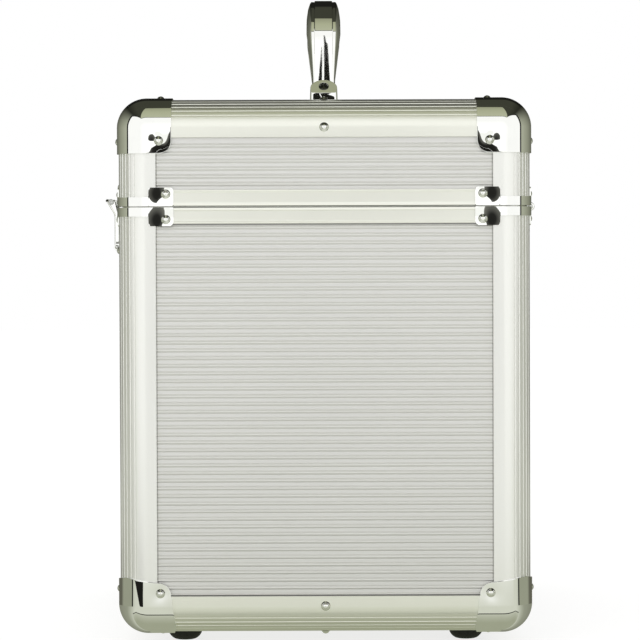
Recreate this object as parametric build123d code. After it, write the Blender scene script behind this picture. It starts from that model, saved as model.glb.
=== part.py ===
from build123d import *
import math
import os

# Record carrying case: an aluminium-framed box with a hinged lid, two draw
# latches and a swinging carrying handle.  Millimetres, +Z up.  The origin is
# on the floor under the middle of the case.  The latches are at -Y, the
# hinges at +Y, and the handle runs along X.

# ---------------------------------------------------------------- the case
CASE_W = 350.0            # over the extrusions, along X
CASE_D = 288.0            # over the extrusions, along Y
CASE_H = 373.0            # over the extrusions, along Z
BASE_H = 298.0            # bottom plane to the parting line
FOOT_H = 11.0             # floor to the bottom plane
HALF_W, HALF_D = CASE_W / 2, CASE_D / 2
BOTTOM = FOOT_H
TOP = BOTTOM + CASE_H
PART_Z = BOTTOM + BASE_H
MID_Z = (BOTTOM + TOP) / 2

# ----------------------------------------------- edge extrusion and panels
EDGE_R = 20.0             # rounded outer edge
LEG = 27.0                # length of each leg, from the outside plane
WALL = 1.4                # outer wall
INNER_WALL = 1.2
SLOT_IN = 7.4             # the panel slot lies between WALL and SLOT_IN
INNER = SLOT_IN + INNER_WALL
SLOT_END = EDGE_R         # how deep the slot goes, from the outside plane
GROOVES = 5               # V grooves along the rounded edge
GROOVE_PITCH = 10.4       # degrees of arc
GROOVE_HALF = 1.4         # degrees of arc
GROOVE_DEPTH = 0.5
END_GAP = 0.2             # between two extrusions that meet under a cap

PANEL_FACE = 2.0          # panel face, in from the outside plane
RIB_TOP = 1.5             # rib crest, in from the outside plane
RIB_PITCH = 5.34
RIB_BASE = 2.2
PANEL_EDGE = SLOT_END + 0.5
BASE_RIB_START = LEG + 0.2    # first rib above the bottom plane
BASE_RIBS = 49
LID_RIB_START = LEG + 5.7     # first rib below the top plane
LID_RIBS = 6

# ------------------------------------------------- rims and parting line
GAP = 0.2                 # each rim stands this far off the parting plane
WEB = 4.0                 # thickness of the rim's web
RIM_H = 11.8              # height of the rim band from the parting plane
TONGUE_MID = 4.25         # middle of tongue and groove, in from outside
TONGUE_W, TONGUE_H = 1.7, 2.0
GROOVE_W, GROOVE_H = 2.7, 2.6

# --------------------------------------------------- chrome edge hardware
SHEET = 1.2               # sheet of the caps and brackets
CAP_ARM = 38.0            # reach of a top cap along each edge
CAP_ARM_LOW = 36.5        # reach of a bottom cap
CAP_SLANT = 3.2           # bottom caps: extra reach at the rounded edge
CAP_TONGUE_R = 9.0
CAP_RIVET = 29.1          # cap rivet, in from both outside planes
BRACKET_ARM = 39.4
BRACKET_BAND = 6.3        # height of the band round the edge
BRACKET_WING = 13.0       # height of the wings
BRACKET_R = 2.5
BRACKET_RIVET = (34.0, 8.8)   # in from the edge, off the parting plane
RAIL_RIVET = 20.0         # middle rivets, in from the edge
RIVET_R, RIVET_H = 3.2, 1.9
RIVET_SIDES = 6
SIDES = 12                # facets of the small turned parts

# -------------------------------------------------------------- feet, foam
FOOT_R = 12.1
FOOT_POS = (117.0, 100.6)
FOOT_SOLE_R = 7.5
FOAM_WALL = 4.0
FLOOR_PAD = 6.0
LID_PAD = 10.0

# ----------------------------------------------------------------- handle
PIVOT_Z = TOP + 10.5
HANDLE_X = 71.0           # arm centres
HANDLE_TOP = TOP + 79.7
HANDLE_T = 16.0           # thickness of the bow
BOW_RUN, BOW_FALL = 23.4, 16.0    # sloping shoulder of the bow's middle line
BOW_R = (19.0, 52.0)      # radii of its two bends, at the arm and at the bar
HANDLE_ARM_HALF = 8.4     # half width at the pivots
HANDLE_BAR_HALF = 12.5    # half width of the bar
HANDLE_CREST_HALF = 6.9   # half width of the outer facet
HANDLE_PIN_R = 2.0
BRACKET_HALF = 10.0       # handle bracket: half width
BRACKET_H = 19.0
BRACKET_TOE_H = 9.4
BRACKET_LEN = 18.0
BRACKET_FLAT = 10.8       # flat top; the toe slopes down from there
LUG_T = 4.6
FOOTPLATE_T = 1.5
SCREW_HEAD_R = 3.3
SCREW_SUNK = 0.6          # the screw's head lies this deep in its well
GRIP_HALF = 9.6           # half width of the black under-grip
GRIP_DEPTH = 7.0          # how far it is let into the bow
SIDE_GAP = 0.4            # between the handle's arm and its bracket
SEAT = TOP - RIB_TOP
HOUSING_IN = HANDLE_X + HANDLE_T / 2 + SIDE_GAP
LUG_OUT = HANDLE_X - HANDLE_T / 2 - SIDE_GAP - LUG_T

# ---------------------------------------------------------------- latches
LATCH_X = 108.0
PLATE_HALF, PLATE_T = 24.0, 1.5
PLATE_LOW = 36.0          # plate's lower edge below the parting plane
LEVER_HALF = 15.5
LEVER_T = 1.4
EAR_T = 1.8
LEVER_OUT = 4.9           # middle of the lever's flat, out from the front
LATCH_PIVOT = (3.8, -28.0)    # out from the front plane, off the parting plane
LATCH_PIN_R, LATCH_KNUCKLE_R = 1.0, 1.9
HOOK_BAR = (7.9, 4.0)
HOOK_BAR_R = 1.9
LIP_TIP = (11.6, 6.0)
KEEPER_HALF = 15.0
KEEPER_LIP = 5.6          # how far the keeper's lip stands out
LOCK_Z = -15.0
LOCK_R = 4.0
RUN = 0.05                # radial clearance of a running fit

# ----------------------------------------------------------------- hinges
HINGE_X = 95.0
HINGE_HALF = 26.0
HINGE_OUT = 3.3           # pin axis, out from the back plane
KNUCKLE_R, HINGE_PIN_R = 3.0, 1.2
LEAF_T, LEAF_H = 1.3, 24.0
KNUCKLES = 3


def box(x0, x1, y0, y1, z0, z1):
    """An axis-aligned block between two opposite corners."""
    size = (x1 - x0, y1 - y0, z1 - z0)
    middle = ((x0 + x1) / 2, (y0 + y1) / 2, (z0 + z1) / 2)
    return Pos(*middle) * Box(*size)


def rod(radius, length, sides=SIDES):
    """Small turned part along Z, centred, as a prism of a few flat sides."""
    return extrude(RegularPolygon(radius, sides), length / 2, both=True)


def bore(radius, length, sides=SIDES):
    """Hole that a rod of this radius turns in: its flats are at the radius."""
    return rod(radius / math.cos(math.pi / sides), length, sides)


def turned(points, centre, radius, start, end, steps):
    """The points followed by an arc of a few straight steps, in degrees."""
    angles = [math.radians(start + (end - start) * i / steps)
              for i in range(steps + 1)]
    return points + [(centre[0] + radius * math.cos(a),
                      centre[1] + radius * math.sin(a)) for a in angles]


def group(solids):
    """Several separate solids as one piece."""
    return Compound(children=[s.solid() for s in solids])


def corners(shape):
    """The shape made for the front left corner, at all four corners."""
    left = [shape, mirror(shape, about=Plane.XZ)]
    return left + [mirror(s, about=Plane.YZ) for s in left]


def flipped(shape):
    """The shape turned upside down about the middle of the case's height."""
    return mirror(shape, about=Plane.XY.offset(MID_Z))


def front_plane(x, z):
    """Sketch plane on the front: local x is +X, local y is +Z, normal out."""
    return Plane(origin=(x, -HALF_D, z), x_dir=(1, 0, 0), z_dir=(0, -1, 0))


def side_profile(x):
    """Sketch plane across the front: local x points out, local y is +Z."""
    origin = (x, -HALF_D, PART_Z)
    return Plane(origin=origin, x_dir=(0, -1, 0), z_dir=(-1, 0, 0))


# ------------------------------------------------------------- extrusions

def edge_section():
    """Closed section of the edge extrusion, its outside corner at 0, 0."""
    def on_arc(degrees, radius):
        a = math.radians(degrees)
        return (EDGE_R - radius * math.sin(a), EDGE_R - radius * math.cos(a))

    outline = [(LEG, 0), (EDGE_R, 0)]
    for i in range(GROOVES):
        middle = 45 + (i - (GROOVES - 1) / 2) * GROOVE_PITCH
        outline.append(on_arc(middle - GROOVE_HALF, EDGE_R))
        outline.append(on_arc(middle, EDGE_R - GROOVE_DEPTH))
        outline.append(on_arc(middle + GROOVE_HALF, EDGE_R))
    leg = [(0, EDGE_R), (0, LEG), (WALL, LEG), (WALL, SLOT_END),
           (SLOT_IN, SLOT_END), (SLOT_IN, LEG), (INNER, LEG)]
    outline += leg + [(INNER, INNER)] + [(b, a) for a, b in reversed(leg[2:])]
    section = make_face(Polyline(*outline, close=True))

    web = SLOT_END - WALL
    reach = EDGE_R - math.sqrt(web ** 2 - WALL ** 2)
    chamber = [(reach, web), (SLOT_IN, web), (SLOT_IN, SLOT_IN),
               (web, SLOT_IN), (web, reach)]
    chamber += [on_arc(a, EDGE_R - WALL) for a in (30.0, 60.0)]
    return section - make_face(Polyline(*chamber, close=True))


def corner_post(low, high):
    """Front left corner post between two heights."""
    plane = Plane((-HALF_W, -HALF_D, low))
    return extrude(plane * edge_section(), high - low)


def rail_front():
    """Bottom edge extrusion along the front."""
    start = -HALF_W + LEG + END_GAP
    plane = Plane((start, -HALF_D, BOTTOM), x_dir=(0, 1, 0), z_dir=(1, 0, 0))
    return extrude(plane * edge_section(), -2 * start)


def rail_left():
    """Bottom edge extrusion along the left side."""
    start = -HALF_D + LEG + END_GAP
    plane = Plane((-HALF_W, start, BOTTOM), x_dir=(0, 0, 1), z_dir=(0, 1, 0))
    return extrude(plane * edge_section(), -2 * start)


def rim_frame(side):
    """Rim round the opening.  side is -1 for the base, +1 for the lid."""
    face = PART_Z + side * GAP
    outer = RectangleRounded(CASE_W, CASE_D, EDGE_R)
    inner = Rectangle(CASE_W - 2 * INNER, CASE_D - 2 * INNER)
    rim = extrude(Plane.XY.offset(face) * (outer - inner), side * WEB)
    near, far = PART_Z + side * (GAP + WEB / 2), PART_Z + side * RIM_H
    for inset, wall in ((0, WALL), (SLOT_IN, INNER_WALL)):
        for strip in rim_strips(inset, wall, near, far):
            rim += strip
    if side < 0:
        edge = TONGUE_MID - GROOVE_W / 2
        for strip in rim_strips(edge, GROOVE_W, face, face - GROOVE_H):
            rim -= strip
    else:
        edge = TONGUE_MID - TONGUE_W / 2
        for strip in rim_strips(edge, TONGUE_W, face + 1, face - TONGUE_H, 1.0):
            rim += strip
    return rim


def rim_strips(inset, width, z0, z1, short=0.0):
    """A straight strip along each side, between the corner posts."""
    x, y = HALF_W - inset, HALF_D - inset
    run_x, run_y = HALF_W - LEG - short, HALF_D - LEG - short
    low, high = sorted((z0, z1))
    front = box(-run_x, run_x, -y, -y + width, low, high)
    left = box(-x, -x + width, -run_y, run_y, low, high)
    return [front, mirror(front, about=Plane.XZ), left,
            mirror(left, about=Plane.YZ)]


# ----------------------------------------------------------------- panels

def ribbed_panel(low, high, first_rib, ribs, length):
    """Upright panel facing -Y on the front plane, ribs along X."""
    outline = [(-SLOT_IN, low), (-SLOT_IN, high), (-PANEL_FACE, high)]
    for i in range(ribs):
        z = first_rib - i * RIB_PITCH
        outline += [(-PANEL_FACE, z + RIB_BASE / 2), (-RIB_TOP, z),
                    (-PANEL_FACE, z - RIB_BASE / 2)]
    outline.append((-PANEL_FACE, low))
    plane = Plane((length / 2, -HALF_D, 0), x_dir=(0, -1, 0), z_dir=(-1, 0, 0))
    return extrude(plane * make_face(Polyline(*outline, close=True)), length)


def wall_panels(low, high, first_rib, ribs):
    """Front, back, left and right panels of the base or the lid."""
    front = ribbed_panel(low, high, first_rib, ribs, CASE_W - 2 * PANEL_EDGE)
    side = ribbed_panel(low, high, first_rib, ribs, CASE_D - 2 * PANEL_EDGE)
    left = Pos(-(HALF_W - HALF_D), 0, 0) * (Rot(0, 0, -90) * side)
    return {
        "front": front,
        "back": mirror(front, about=Plane.XZ),
        "left": left,
        "right": mirror(left, about=Plane.YZ),
    }


def flat_panel(outside, inward):
    """Plain top or bottom panel, inward from its outside plane."""
    x, y = HALF_W - PANEL_EDGE, HALF_D - PANEL_EDGE
    low, high = sorted((outside + inward * RIB_TOP, outside + inward * SLOT_IN))
    return box(-x, x, -y, y, low, high)


# ---------------------------------------------------------- edge hardware

def seat_outline(size):
    """Corner outline whose flats touch an extrusion's rounded edge."""
    steps = 4
    half = 45.0 / steps
    radius = EDGE_R / math.cos(math.radians(half))
    outline = turned([(size, 0)], (EDGE_R, EDGE_R), radius, 270 - half,
                     180 + half, steps - 1)
    return make_face(Polyline(*outline, (0, size), (size, size), close=True))


def shell_outline(size):
    """Corner outline of the chrome sheet's outer face."""
    square = Pos(-SHEET, -SHEET) * Rectangle(size + SHEET, size + SHEET,
                                             align=(Align.MIN, Align.MIN))
    near = square.vertices().sort_by_distance((-SHEET, -SHEET))[0]
    return fillet(near, EDGE_R + SHEET)


def corner_cap(arm, slant):
    """Three-way cap over the bottom front left corner, solid at its ball."""
    size = 1.5 * arm
    ball = box(*(-9, EDGE_R) * 3)
    cap = ball & Pos(EDGE_R, EDGE_R, EDGE_R) * Sphere(EDGE_R + SHEET)
    reach, middle = arm + slant, arm - CAP_TONGUE_R
    outline = turned([(-9, reach), (-9, -9), (reach, -9)], (middle, middle),
                     CAP_TONGUE_R, 0, 90, 3)
    tongue = make_face(Polyline(*outline, close=True))
    planes = (Plane.XY, Plane.YZ, Plane.ZX)
    for plane in planes:
        cap += extrude(plane.offset(EDGE_R) * shell_outline(size), size - EDGE_R)
    room = box(*(0, size) * 3)
    for plane in planes:
        room = room & extrude(plane * seat_outline(2 * size), size)
    cap = cap - (room - ball) - box(*(INNER, size) * 3)
    for plane in planes:
        cap = cap & extrude(plane * tongue, size, both=True)
    return Pos(-HALF_W, -HALF_D, BOTTOM) * cap


def edge_bracket():
    """Lid bracket round the front left edge, just above the parting plane."""
    plan = shell_outline(BRACKET_ARM) - seat_outline(2 * BRACKET_ARM)
    bracket = extrude(plan, BRACKET_WING)
    bend = EDGE_R + 1.7
    bracket -= box(-9, bend, -9, bend, BRACKET_BAND, BRACKET_WING + 1)
    across = [e for e in bracket.edges()
              if abs(e.length - SHEET) < 0.01 and e.center().Z > BRACKET_BAND + 1
              and max(e.center().X, e.center().Y) > BRACKET_ARM - 1]
    bracket = chamfer(across, BRACKET_R)
    return Pos(-HALF_W, -HALF_D, PART_Z + 2 * GAP) * bracket


def rivet(position, normal):
    """Tapered rivet head standing on a surface."""
    head = extrude(RegularPolygon(RIVET_R, RIVET_SIDES), RIVET_H, taper=28.0)
    return Plane(origin=position, z_dir=normal) * head


def edge_rivets():
    """Rivets of the bottom caps and rails."""
    def on_face(u, v, out, normal):
        """Point u and v in from the corner on the face with this normal."""
        spot = {(0, -1, 0): (-HALF_W + u, -HALF_D - out, BOTTOM + v),
                (-1, 0, 0): (-HALF_W - out, -HALF_D + u, BOTTOM + v),
                (0, 0, -1): (-HALF_W + u, -HALF_D + v, BOTTOM - out)}[normal]
        return rivet(spot, normal)

    heads = []
    for normal in ((0, -1, 0), (-1, 0, 0), (0, 0, -1)):
        heads += corners(on_face(CAP_RIVET, CAP_RIVET, SHEET, normal))
    rails = [on_face(HALF_W, RAIL_RIVET, 0, (0, -1, 0)),
             on_face(HALF_W, RAIL_RIVET, 0, (0, 0, -1))]
    heads += rails + [mirror(r, about=Plane.XZ) for r in rails]
    sides = [on_face(HALF_D, RAIL_RIVET, 0, (-1, 0, 0)),
             on_face(RAIL_RIVET, HALF_D, 0, (0, 0, -1))]
    return heads + sides + [mirror(r, about=Plane.YZ) for r in sides]


def bracket_rivets(side):
    """Rivets of the four edge brackets, below or above the parting plane."""
    along, off = BRACKET_RIVET
    z = PART_Z + side * off
    front = rivet((-HALF_W + along, -HALF_D - SHEET, z), (0, -1, 0))
    left = rivet((-HALF_W - SHEET, -HALF_D + along, z), (-1, 0, 0))
    return corners(front) + corners(left)


# ---------------------------------------------------------- feet and foam

def rubber_foot():
    """Rubber foot of the front left corner, tapered on its lower half."""
    height = BOTTOM + RIB_TOP
    ring = RegularPolygon(FOOT_R, SIDES)
    taper = math.degrees(math.atan2(FOOT_R - FOOT_SOLE_R, height / 2))
    lower = Pos(0, 0, height / 2) * Rot(180, 0, 0) * extrude(
        ring, height / 2, taper=taper)
    upper = Pos(0, 0, height / 2) * Rot(180, 0, 0) * extrude(ring, -height / 2)
    return Pos(-FOOT_POS[0], -FOOT_POS[1], 0) * (upper + lower)


def foam_linings():
    """Four foam sheets against the base's walls."""
    low, high = BOTTOM + INNER + FLOOR_PAD, PART_Z - 1.0
    x, y = HALF_W - INNER, HALF_D - INNER
    front = box(-x, x, -y, -y + FOAM_WALL, low, high)
    y -= FOAM_WALL
    left = box(-x, -x + FOAM_WALL, -y, y, low, high)
    return [front, mirror(front, about=Plane.XZ), left,
            mirror(left, about=Plane.YZ)]


def foam_pad(low, high):
    """Foam sheet over the whole floor or lid."""
    x, y = HALF_W - INNER, HALF_D - INNER
    return chamfer(box(-x, x, -y, y, low, high).edges().filter_by(Axis.Z), 3.0)


# ----------------------------------------------------------------- handle

def bow_line(out, low):
    """Bow's line this far outside its middle line, from arm end to arm end."""
    lean = math.atan2(BOW_FALL, BOW_RUN)
    x, high = HANDLE_X + out, HANDLE_TOP - HANDLE_T / 2 + out
    knee = high - BOW_FALL - out + out * math.tan((math.pi / 2 - lean) / 2)
    bend = HANDLE_X - BOW_RUN + out * math.tan(lean / 2)
    left = [(-x, low), (-x, knee), (-bend, high)]
    points = left + [(-x, z) for x, z in reversed(left)]
    radii = [r + out for r in BOW_R + BOW_R[::-1]]
    return FilletPolyline(*[(x, 0, z) for x, z in points], radius=radii)


def bow_path():
    """Middle line of the handle's bow."""
    return bow_line(0, PIVOT_Z - HANDLE_ARM_HALF)


def bow_section(points):
    """Section across the start of the bow; x is out from its middle line."""
    path = bow_path()
    plane = Plane(origin=path @ 0, x_dir=(-1, 0, 0), z_dir=path % 0)
    half = points + [(t, -w) for t, w in reversed(points)]
    return plane * make_face(Polyline(*half, close=True))


def handle_silhouette():
    """End view of the handle: slim at the pivots, widest at the bar."""
    arm, bar = HANDLE_ARM_HALF, HANDLE_BAR_HALF
    high, crest = HANDLE_TOP - PIVOT_Z, HANDLE_CREST_HALF + 0.4
    right = [(arm, 9), (bar, 42), (bar, high - 14), (bar - 0.9, high - 6),
             (bar - 2.2, high - 2.2), (crest, high)]
    outline = [(-w, z) for w, z in reversed(right)]
    outline = turned(outline, (0, 0), arm, 180, 360, 6) + right
    plane = Plane((0, 0, PIVOT_Z), x_dir=(0, 1, 0), z_dir=(1, 0, 0))
    face = plane * make_face(Polyline(*outline, close=True))
    return extrude(face, 2 * HALF_W, both=True)


def handle_shell():
    """Chrome channel of the bow, bored for the pivot pins."""
    t = HANDLE_T / 2
    outer = bow_section([(t, HANDLE_BAR_HALF), (-t, HANDLE_BAR_HALF)])
    bow = sweep(outer, path=bow_path()) & handle_silhouette()
    return bow - grip_block() - handle_axis() * bore(HANDLE_PIN_R + RUN,
                                                     4 * HANDLE_X)


def grip_block():
    """Underside insert between the arms' shoulders."""
    inside = bow_line(-HANDLE_T / 2, PIVOT_Z + 22)
    outside = bow_line(GRIP_DEPTH - HANDLE_T / 2, PIVOT_Z + 22)
    ends = [Line(inside @ 0, outside @ 0), Line(inside @ 1, outside @ 1)]
    face = make_face([inside, outside] + ends)
    return extrude(face, GRIP_HALF, both=True)


def handle_axis():
    """The handle's pivot axis: local Z runs along X."""
    return Pos(0, 0, PIVOT_Z) * Rot(0, 90, 0)


def handle_bracket():
    """Right bracket: wedge-shaped housing, foot plate and inner lug."""
    across = Plane((HOUSING_IN, 0, SEAT), x_dir=(0, 1, 0), z_dir=(1, 0, 0))
    wide, side = BRACKET_HALF, BRACKET_H - BRACKET_HALF * 0.6
    crown = math.degrees(math.acos(0.93))
    outline = [(-wide, 0), (wide, 0)]
    outline += [(wide * math.cos(math.radians(a)),
                 side + (BRACKET_H - side) * math.sin(math.radians(a)))
                for a in (crown, 45, 70, 110, 135, 180 - crown)]
    body = extrude(across * make_face(Polyline(*outline, close=True)),
                   BRACKET_LEN)
    end, high = HOUSING_IN + BRACKET_LEN, SEAT + BRACKET_H
    slope = Plane.XZ * make_face(Polyline(
        (HOUSING_IN + BRACKET_FLAT, high), (end, SEAT + BRACKET_TOE_H),
        (end + 1, high), close=True))
    body -= extrude(slope, 2 * BRACKET_HALF, both=True)
    body += box(LUG_OUT, HOUSING_IN, -BRACKET_HALF, BRACKET_HALF, SEAT,
                SEAT + FOOTPLATE_T)
    lug_r, drop = 6.5, PIVOT_Z - SEAT
    lug = turned([(lug_r, -drop)], (0, 0), lug_r, 0, 180, 6) + [(-lug_r, -drop)]
    lug_plane = Plane((LUG_OUT, 0, PIVOT_Z), x_dir=(0, 1, 0), z_dir=(1, 0, 0))
    body += extrude(lug_plane * make_face(Polyline(*lug, close=True)), LUG_T)
    well = screw_place() * Pos(0, 0, 3.4) * rod(SCREW_HEAD_R + 0.3, 10.0)
    return body - well - handle_pin()


def screw_place():
    """Middle of the bracket's sloping toe: local Z is square to the slope."""
    run, fall = BRACKET_LEN - BRACKET_FLAT, BRACKET_H - BRACKET_TOE_H
    middle = (HOUSING_IN + BRACKET_FLAT + run / 2, 0, SEAT + BRACKET_H - fall / 2)
    return Plane(origin=middle, z_dir=(fall, 0, run)).location


def bracket_screw():
    """Head of the screw sunk in the bracket's toe."""
    return screw_place() * Pos(0, 0, -SCREW_SUNK - 0.5) * rod(SCREW_HEAD_R, 1.0)


def handle_pin():
    """Right pivot pin, fixed in the bracket's housing and lug."""
    length = HOUSING_IN + 5 - LUG_OUT
    return handle_axis() * Pos(0, 0, LUG_OUT + length / 2) * rod(
        HANDLE_PIN_R, length)


# ---------------------------------------------------------------- latches

def plate_outline(width, low, high, cut):
    """Plate with its four corners cut, between two heights."""
    plate = Rectangle(width, high - low)
    return extrude(front_plane(0, PART_Z + (low + high) / 2)
                   * chamfer(plate.vertices(), cut), PLATE_T)


def latch_plate():
    """Base plate with two ears for the lever's pin."""
    plate = plate_outline(2 * PLATE_HALF, -PLATE_LOW, -1.4, 3.0)
    out, z = LATCH_PIVOT
    ear = make_face(Polyline(*turned([(0.5, z - 2.3)], (out, z), 2.3, -90, 90, 6),
                             (0.5, z + 2.3), close=True))
    for side in (-1, 1):
        start = side * (LEVER_HALF + 0.3)
        plate += extrude(side_profile(start) * ear, -side * EAR_T)
    return plate - latch_pin()


def latch_axis(place):
    """Axis across a latch at (out from the front, off the parting plane)."""
    out, z = place
    return Pos(0, -HALF_D - out, PART_Z + z) * Rot(0, 90, 0)


def latch_pin():
    """Pin that the lever turns on, fixed in the plate's ears."""
    return latch_axis(LATCH_PIVOT) * rod(LATCH_PIN_R,
                                         2 * (LEVER_HALF + 0.3 + EAR_T))


def latch_lever():
    """Sheet lever: knuckle, flat, flared pull lip and two cheeks."""
    out, z = LATCH_PIVOT
    near, far = LEVER_OUT - LEVER_T / 2, LEVER_OUT + LEVER_T / 2
    tip_out, tip_z = LIP_TIP
    sheet = [(near, z), (far, z), (far, -5.5), (far + 1.2, -3.6),
             (tip_out + 0.4, tip_z - 1), (tip_out + 0.8, tip_z + 0.3),
             (tip_out, tip_z + 0.9), (tip_out - 0.9, tip_z),
             (near + 0.9, -3.0), (near, -4.6)]
    lever = extrude(side_profile(LEVER_HALF)
                    * make_face(Polyline(*sheet, close=True)), 2 * LEVER_HALF)
    lever += latch_axis(LATCH_PIVOT) * rod(LATCH_KNUCKLE_R, 2 * LEVER_HALF)
    bar_out, bar_z = HOOK_BAR
    cheek = make_face(Polyline(
        (out - 1.4, z + 4), (near + 0.4, z + 4), (near + 0.4, -4.6),
        (tip_out - 2.2, tip_z - 1.2), (bar_out, bar_z + 2.6),
        (bar_out - 2.7, bar_z), (out - 1.4, -7), close=True))
    for side in (-1, 1):
        start = side * LEVER_HALF
        lever += extrude(side_profile(start) * cheek, side * LEVER_T)
    lever -= latch_axis(LATCH_PIVOT) * bore(LATCH_PIN_R + RUN, 4 * LEVER_HALF)
    lever -= hook_bar()
    return lever - lock_axis() * Pos(0, 0, LEVER_OUT) * bore(
        LOCK_R + RUN, 3 * LEVER_T)


def hook_bar():
    """Bar between the cheeks that snaps over the keeper's lip."""
    return latch_axis(HOOK_BAR) * rod(HOOK_BAR_R, 2 * (LEVER_HALF + 0.4))


def lock_axis():
    """Axis of the key cylinder: local Z points out of the front."""
    return Pos(0, -HALF_D, PART_Z + LOCK_Z) * Rot(90, 0, 0)


def lock_cylinder():
    """Key cylinder with a head, a barrel, a keyway and a cam."""
    face = LEVER_OUT + LEVER_T / 2
    low, high = face - 2.9, face + 0.65
    head = Pos(0, 0, high - 0.3) * rod(LOCK_R + 0.7, 0.6)
    barrel = Pos(0, 0, (low + high) / 2) * rod(LOCK_R, high - low)
    cam = box(-2, 2, -2.5, 7, low, low + 0.9)
    keyway = box(-0.6, 0.6, -2.4, 2.4, high - 1.6, high + 1)
    return lock_axis() * (head + barrel + cam - keyway)


def latch_keeper():
    """Strike on the lid with an upturned lip."""
    low, high = 1.4, 21.0
    keeper = plate_outline(2 * KEEPER_HALF, low, high, 2.5)
    hook = make_face(Polyline(
        (0.5, low), (KEEPER_LIP, low), (KEEPER_LIP, 5.4), (KEEPER_LIP - 1.2, 5.4),
        (KEEPER_LIP - 1.2, low + 1.3), (0.5, low + 1.3), close=True))
    width = 2 * (KEEPER_HALF - 4)
    return keeper + extrude(side_profile(width / 2) * hook, width)


# ----------------------------------------------------------------- hinges

def hinge_leaf(side):
    """Leaf with its share of the knuckles; side -1 is the base's."""
    edge = KNUCKLE_R + 0.7
    low, high = sorted((PART_Z + side * edge, PART_Z + side * LEAF_H))
    leaf = box(-HINGE_HALF, HINGE_HALF, HALF_D, HALF_D + LEAF_T, low, high)
    outer = leaf.edges().filter_by(Axis.Y).group_by(Axis.Z)[0 if side < 0 else -1]
    leaf = chamfer(outer, 3.0)
    pitch = 2 * HINGE_HALF / KNUCKLES
    for i in range(0 if side < 0 else 1, KNUCKLES, 2):
        x0 = -HINGE_HALF + i * pitch + 0.15
        x1 = x0 + pitch - 0.3
        near, far = sorted((PART_Z, PART_Z + side * (edge + 1)))
        leaf += box(x0, x1, HALF_D + 0.3, HALF_D + LEAF_T, near, far)
        leaf += hinge_axis() * Pos(0, 0, (x0 + x1) / 2) * rod(KNUCKLE_R, x1 - x0)
    if side < 0:
        return leaf - hinge_pin()
    return leaf - hinge_axis() * bore(HINGE_PIN_R + RUN, 3 * HINGE_HALF)


def hinge_axis():
    """Axis of a hinge, just behind the back plane: local Z is along X."""
    return Pos(0, HALF_D + HINGE_OUT, PART_Z) * Rot(0, 90, 0)


def hinge_pin():
    """Pin through all the knuckles, fixed in the base's."""
    return hinge_axis() * rod(HINGE_PIN_R, 2 * HINGE_HALF)


def plate_rivets(side):
    """Rivets of the latch plates or keepers and of the hinge leaves."""
    along, heights = (20.5, (-7.5, -30.5)) if side < 0 else (10.0, (14.5,))
    latch = [rivet((x, -HALF_D - PLATE_T, PART_Z + z), (0, -1, 0))
             for x in (-along, along) for z in heights]
    hinge = [rivet((x, HALF_D + LEAF_T, PART_Z + side * 17.0), (0, 1, 0))
             for x in (-18.0, 0.0, 18.0)]
    return at_both(latch, LATCH_X) + at_both(hinge, HINGE_X)


def at_both(shapes, x):
    """The shapes at -x and again at +x."""
    return [Pos(end * x, 0, 0) * shape for end in (-1, 1) for shape in shapes]


# --------------------------------------------------------------- assembly

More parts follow.
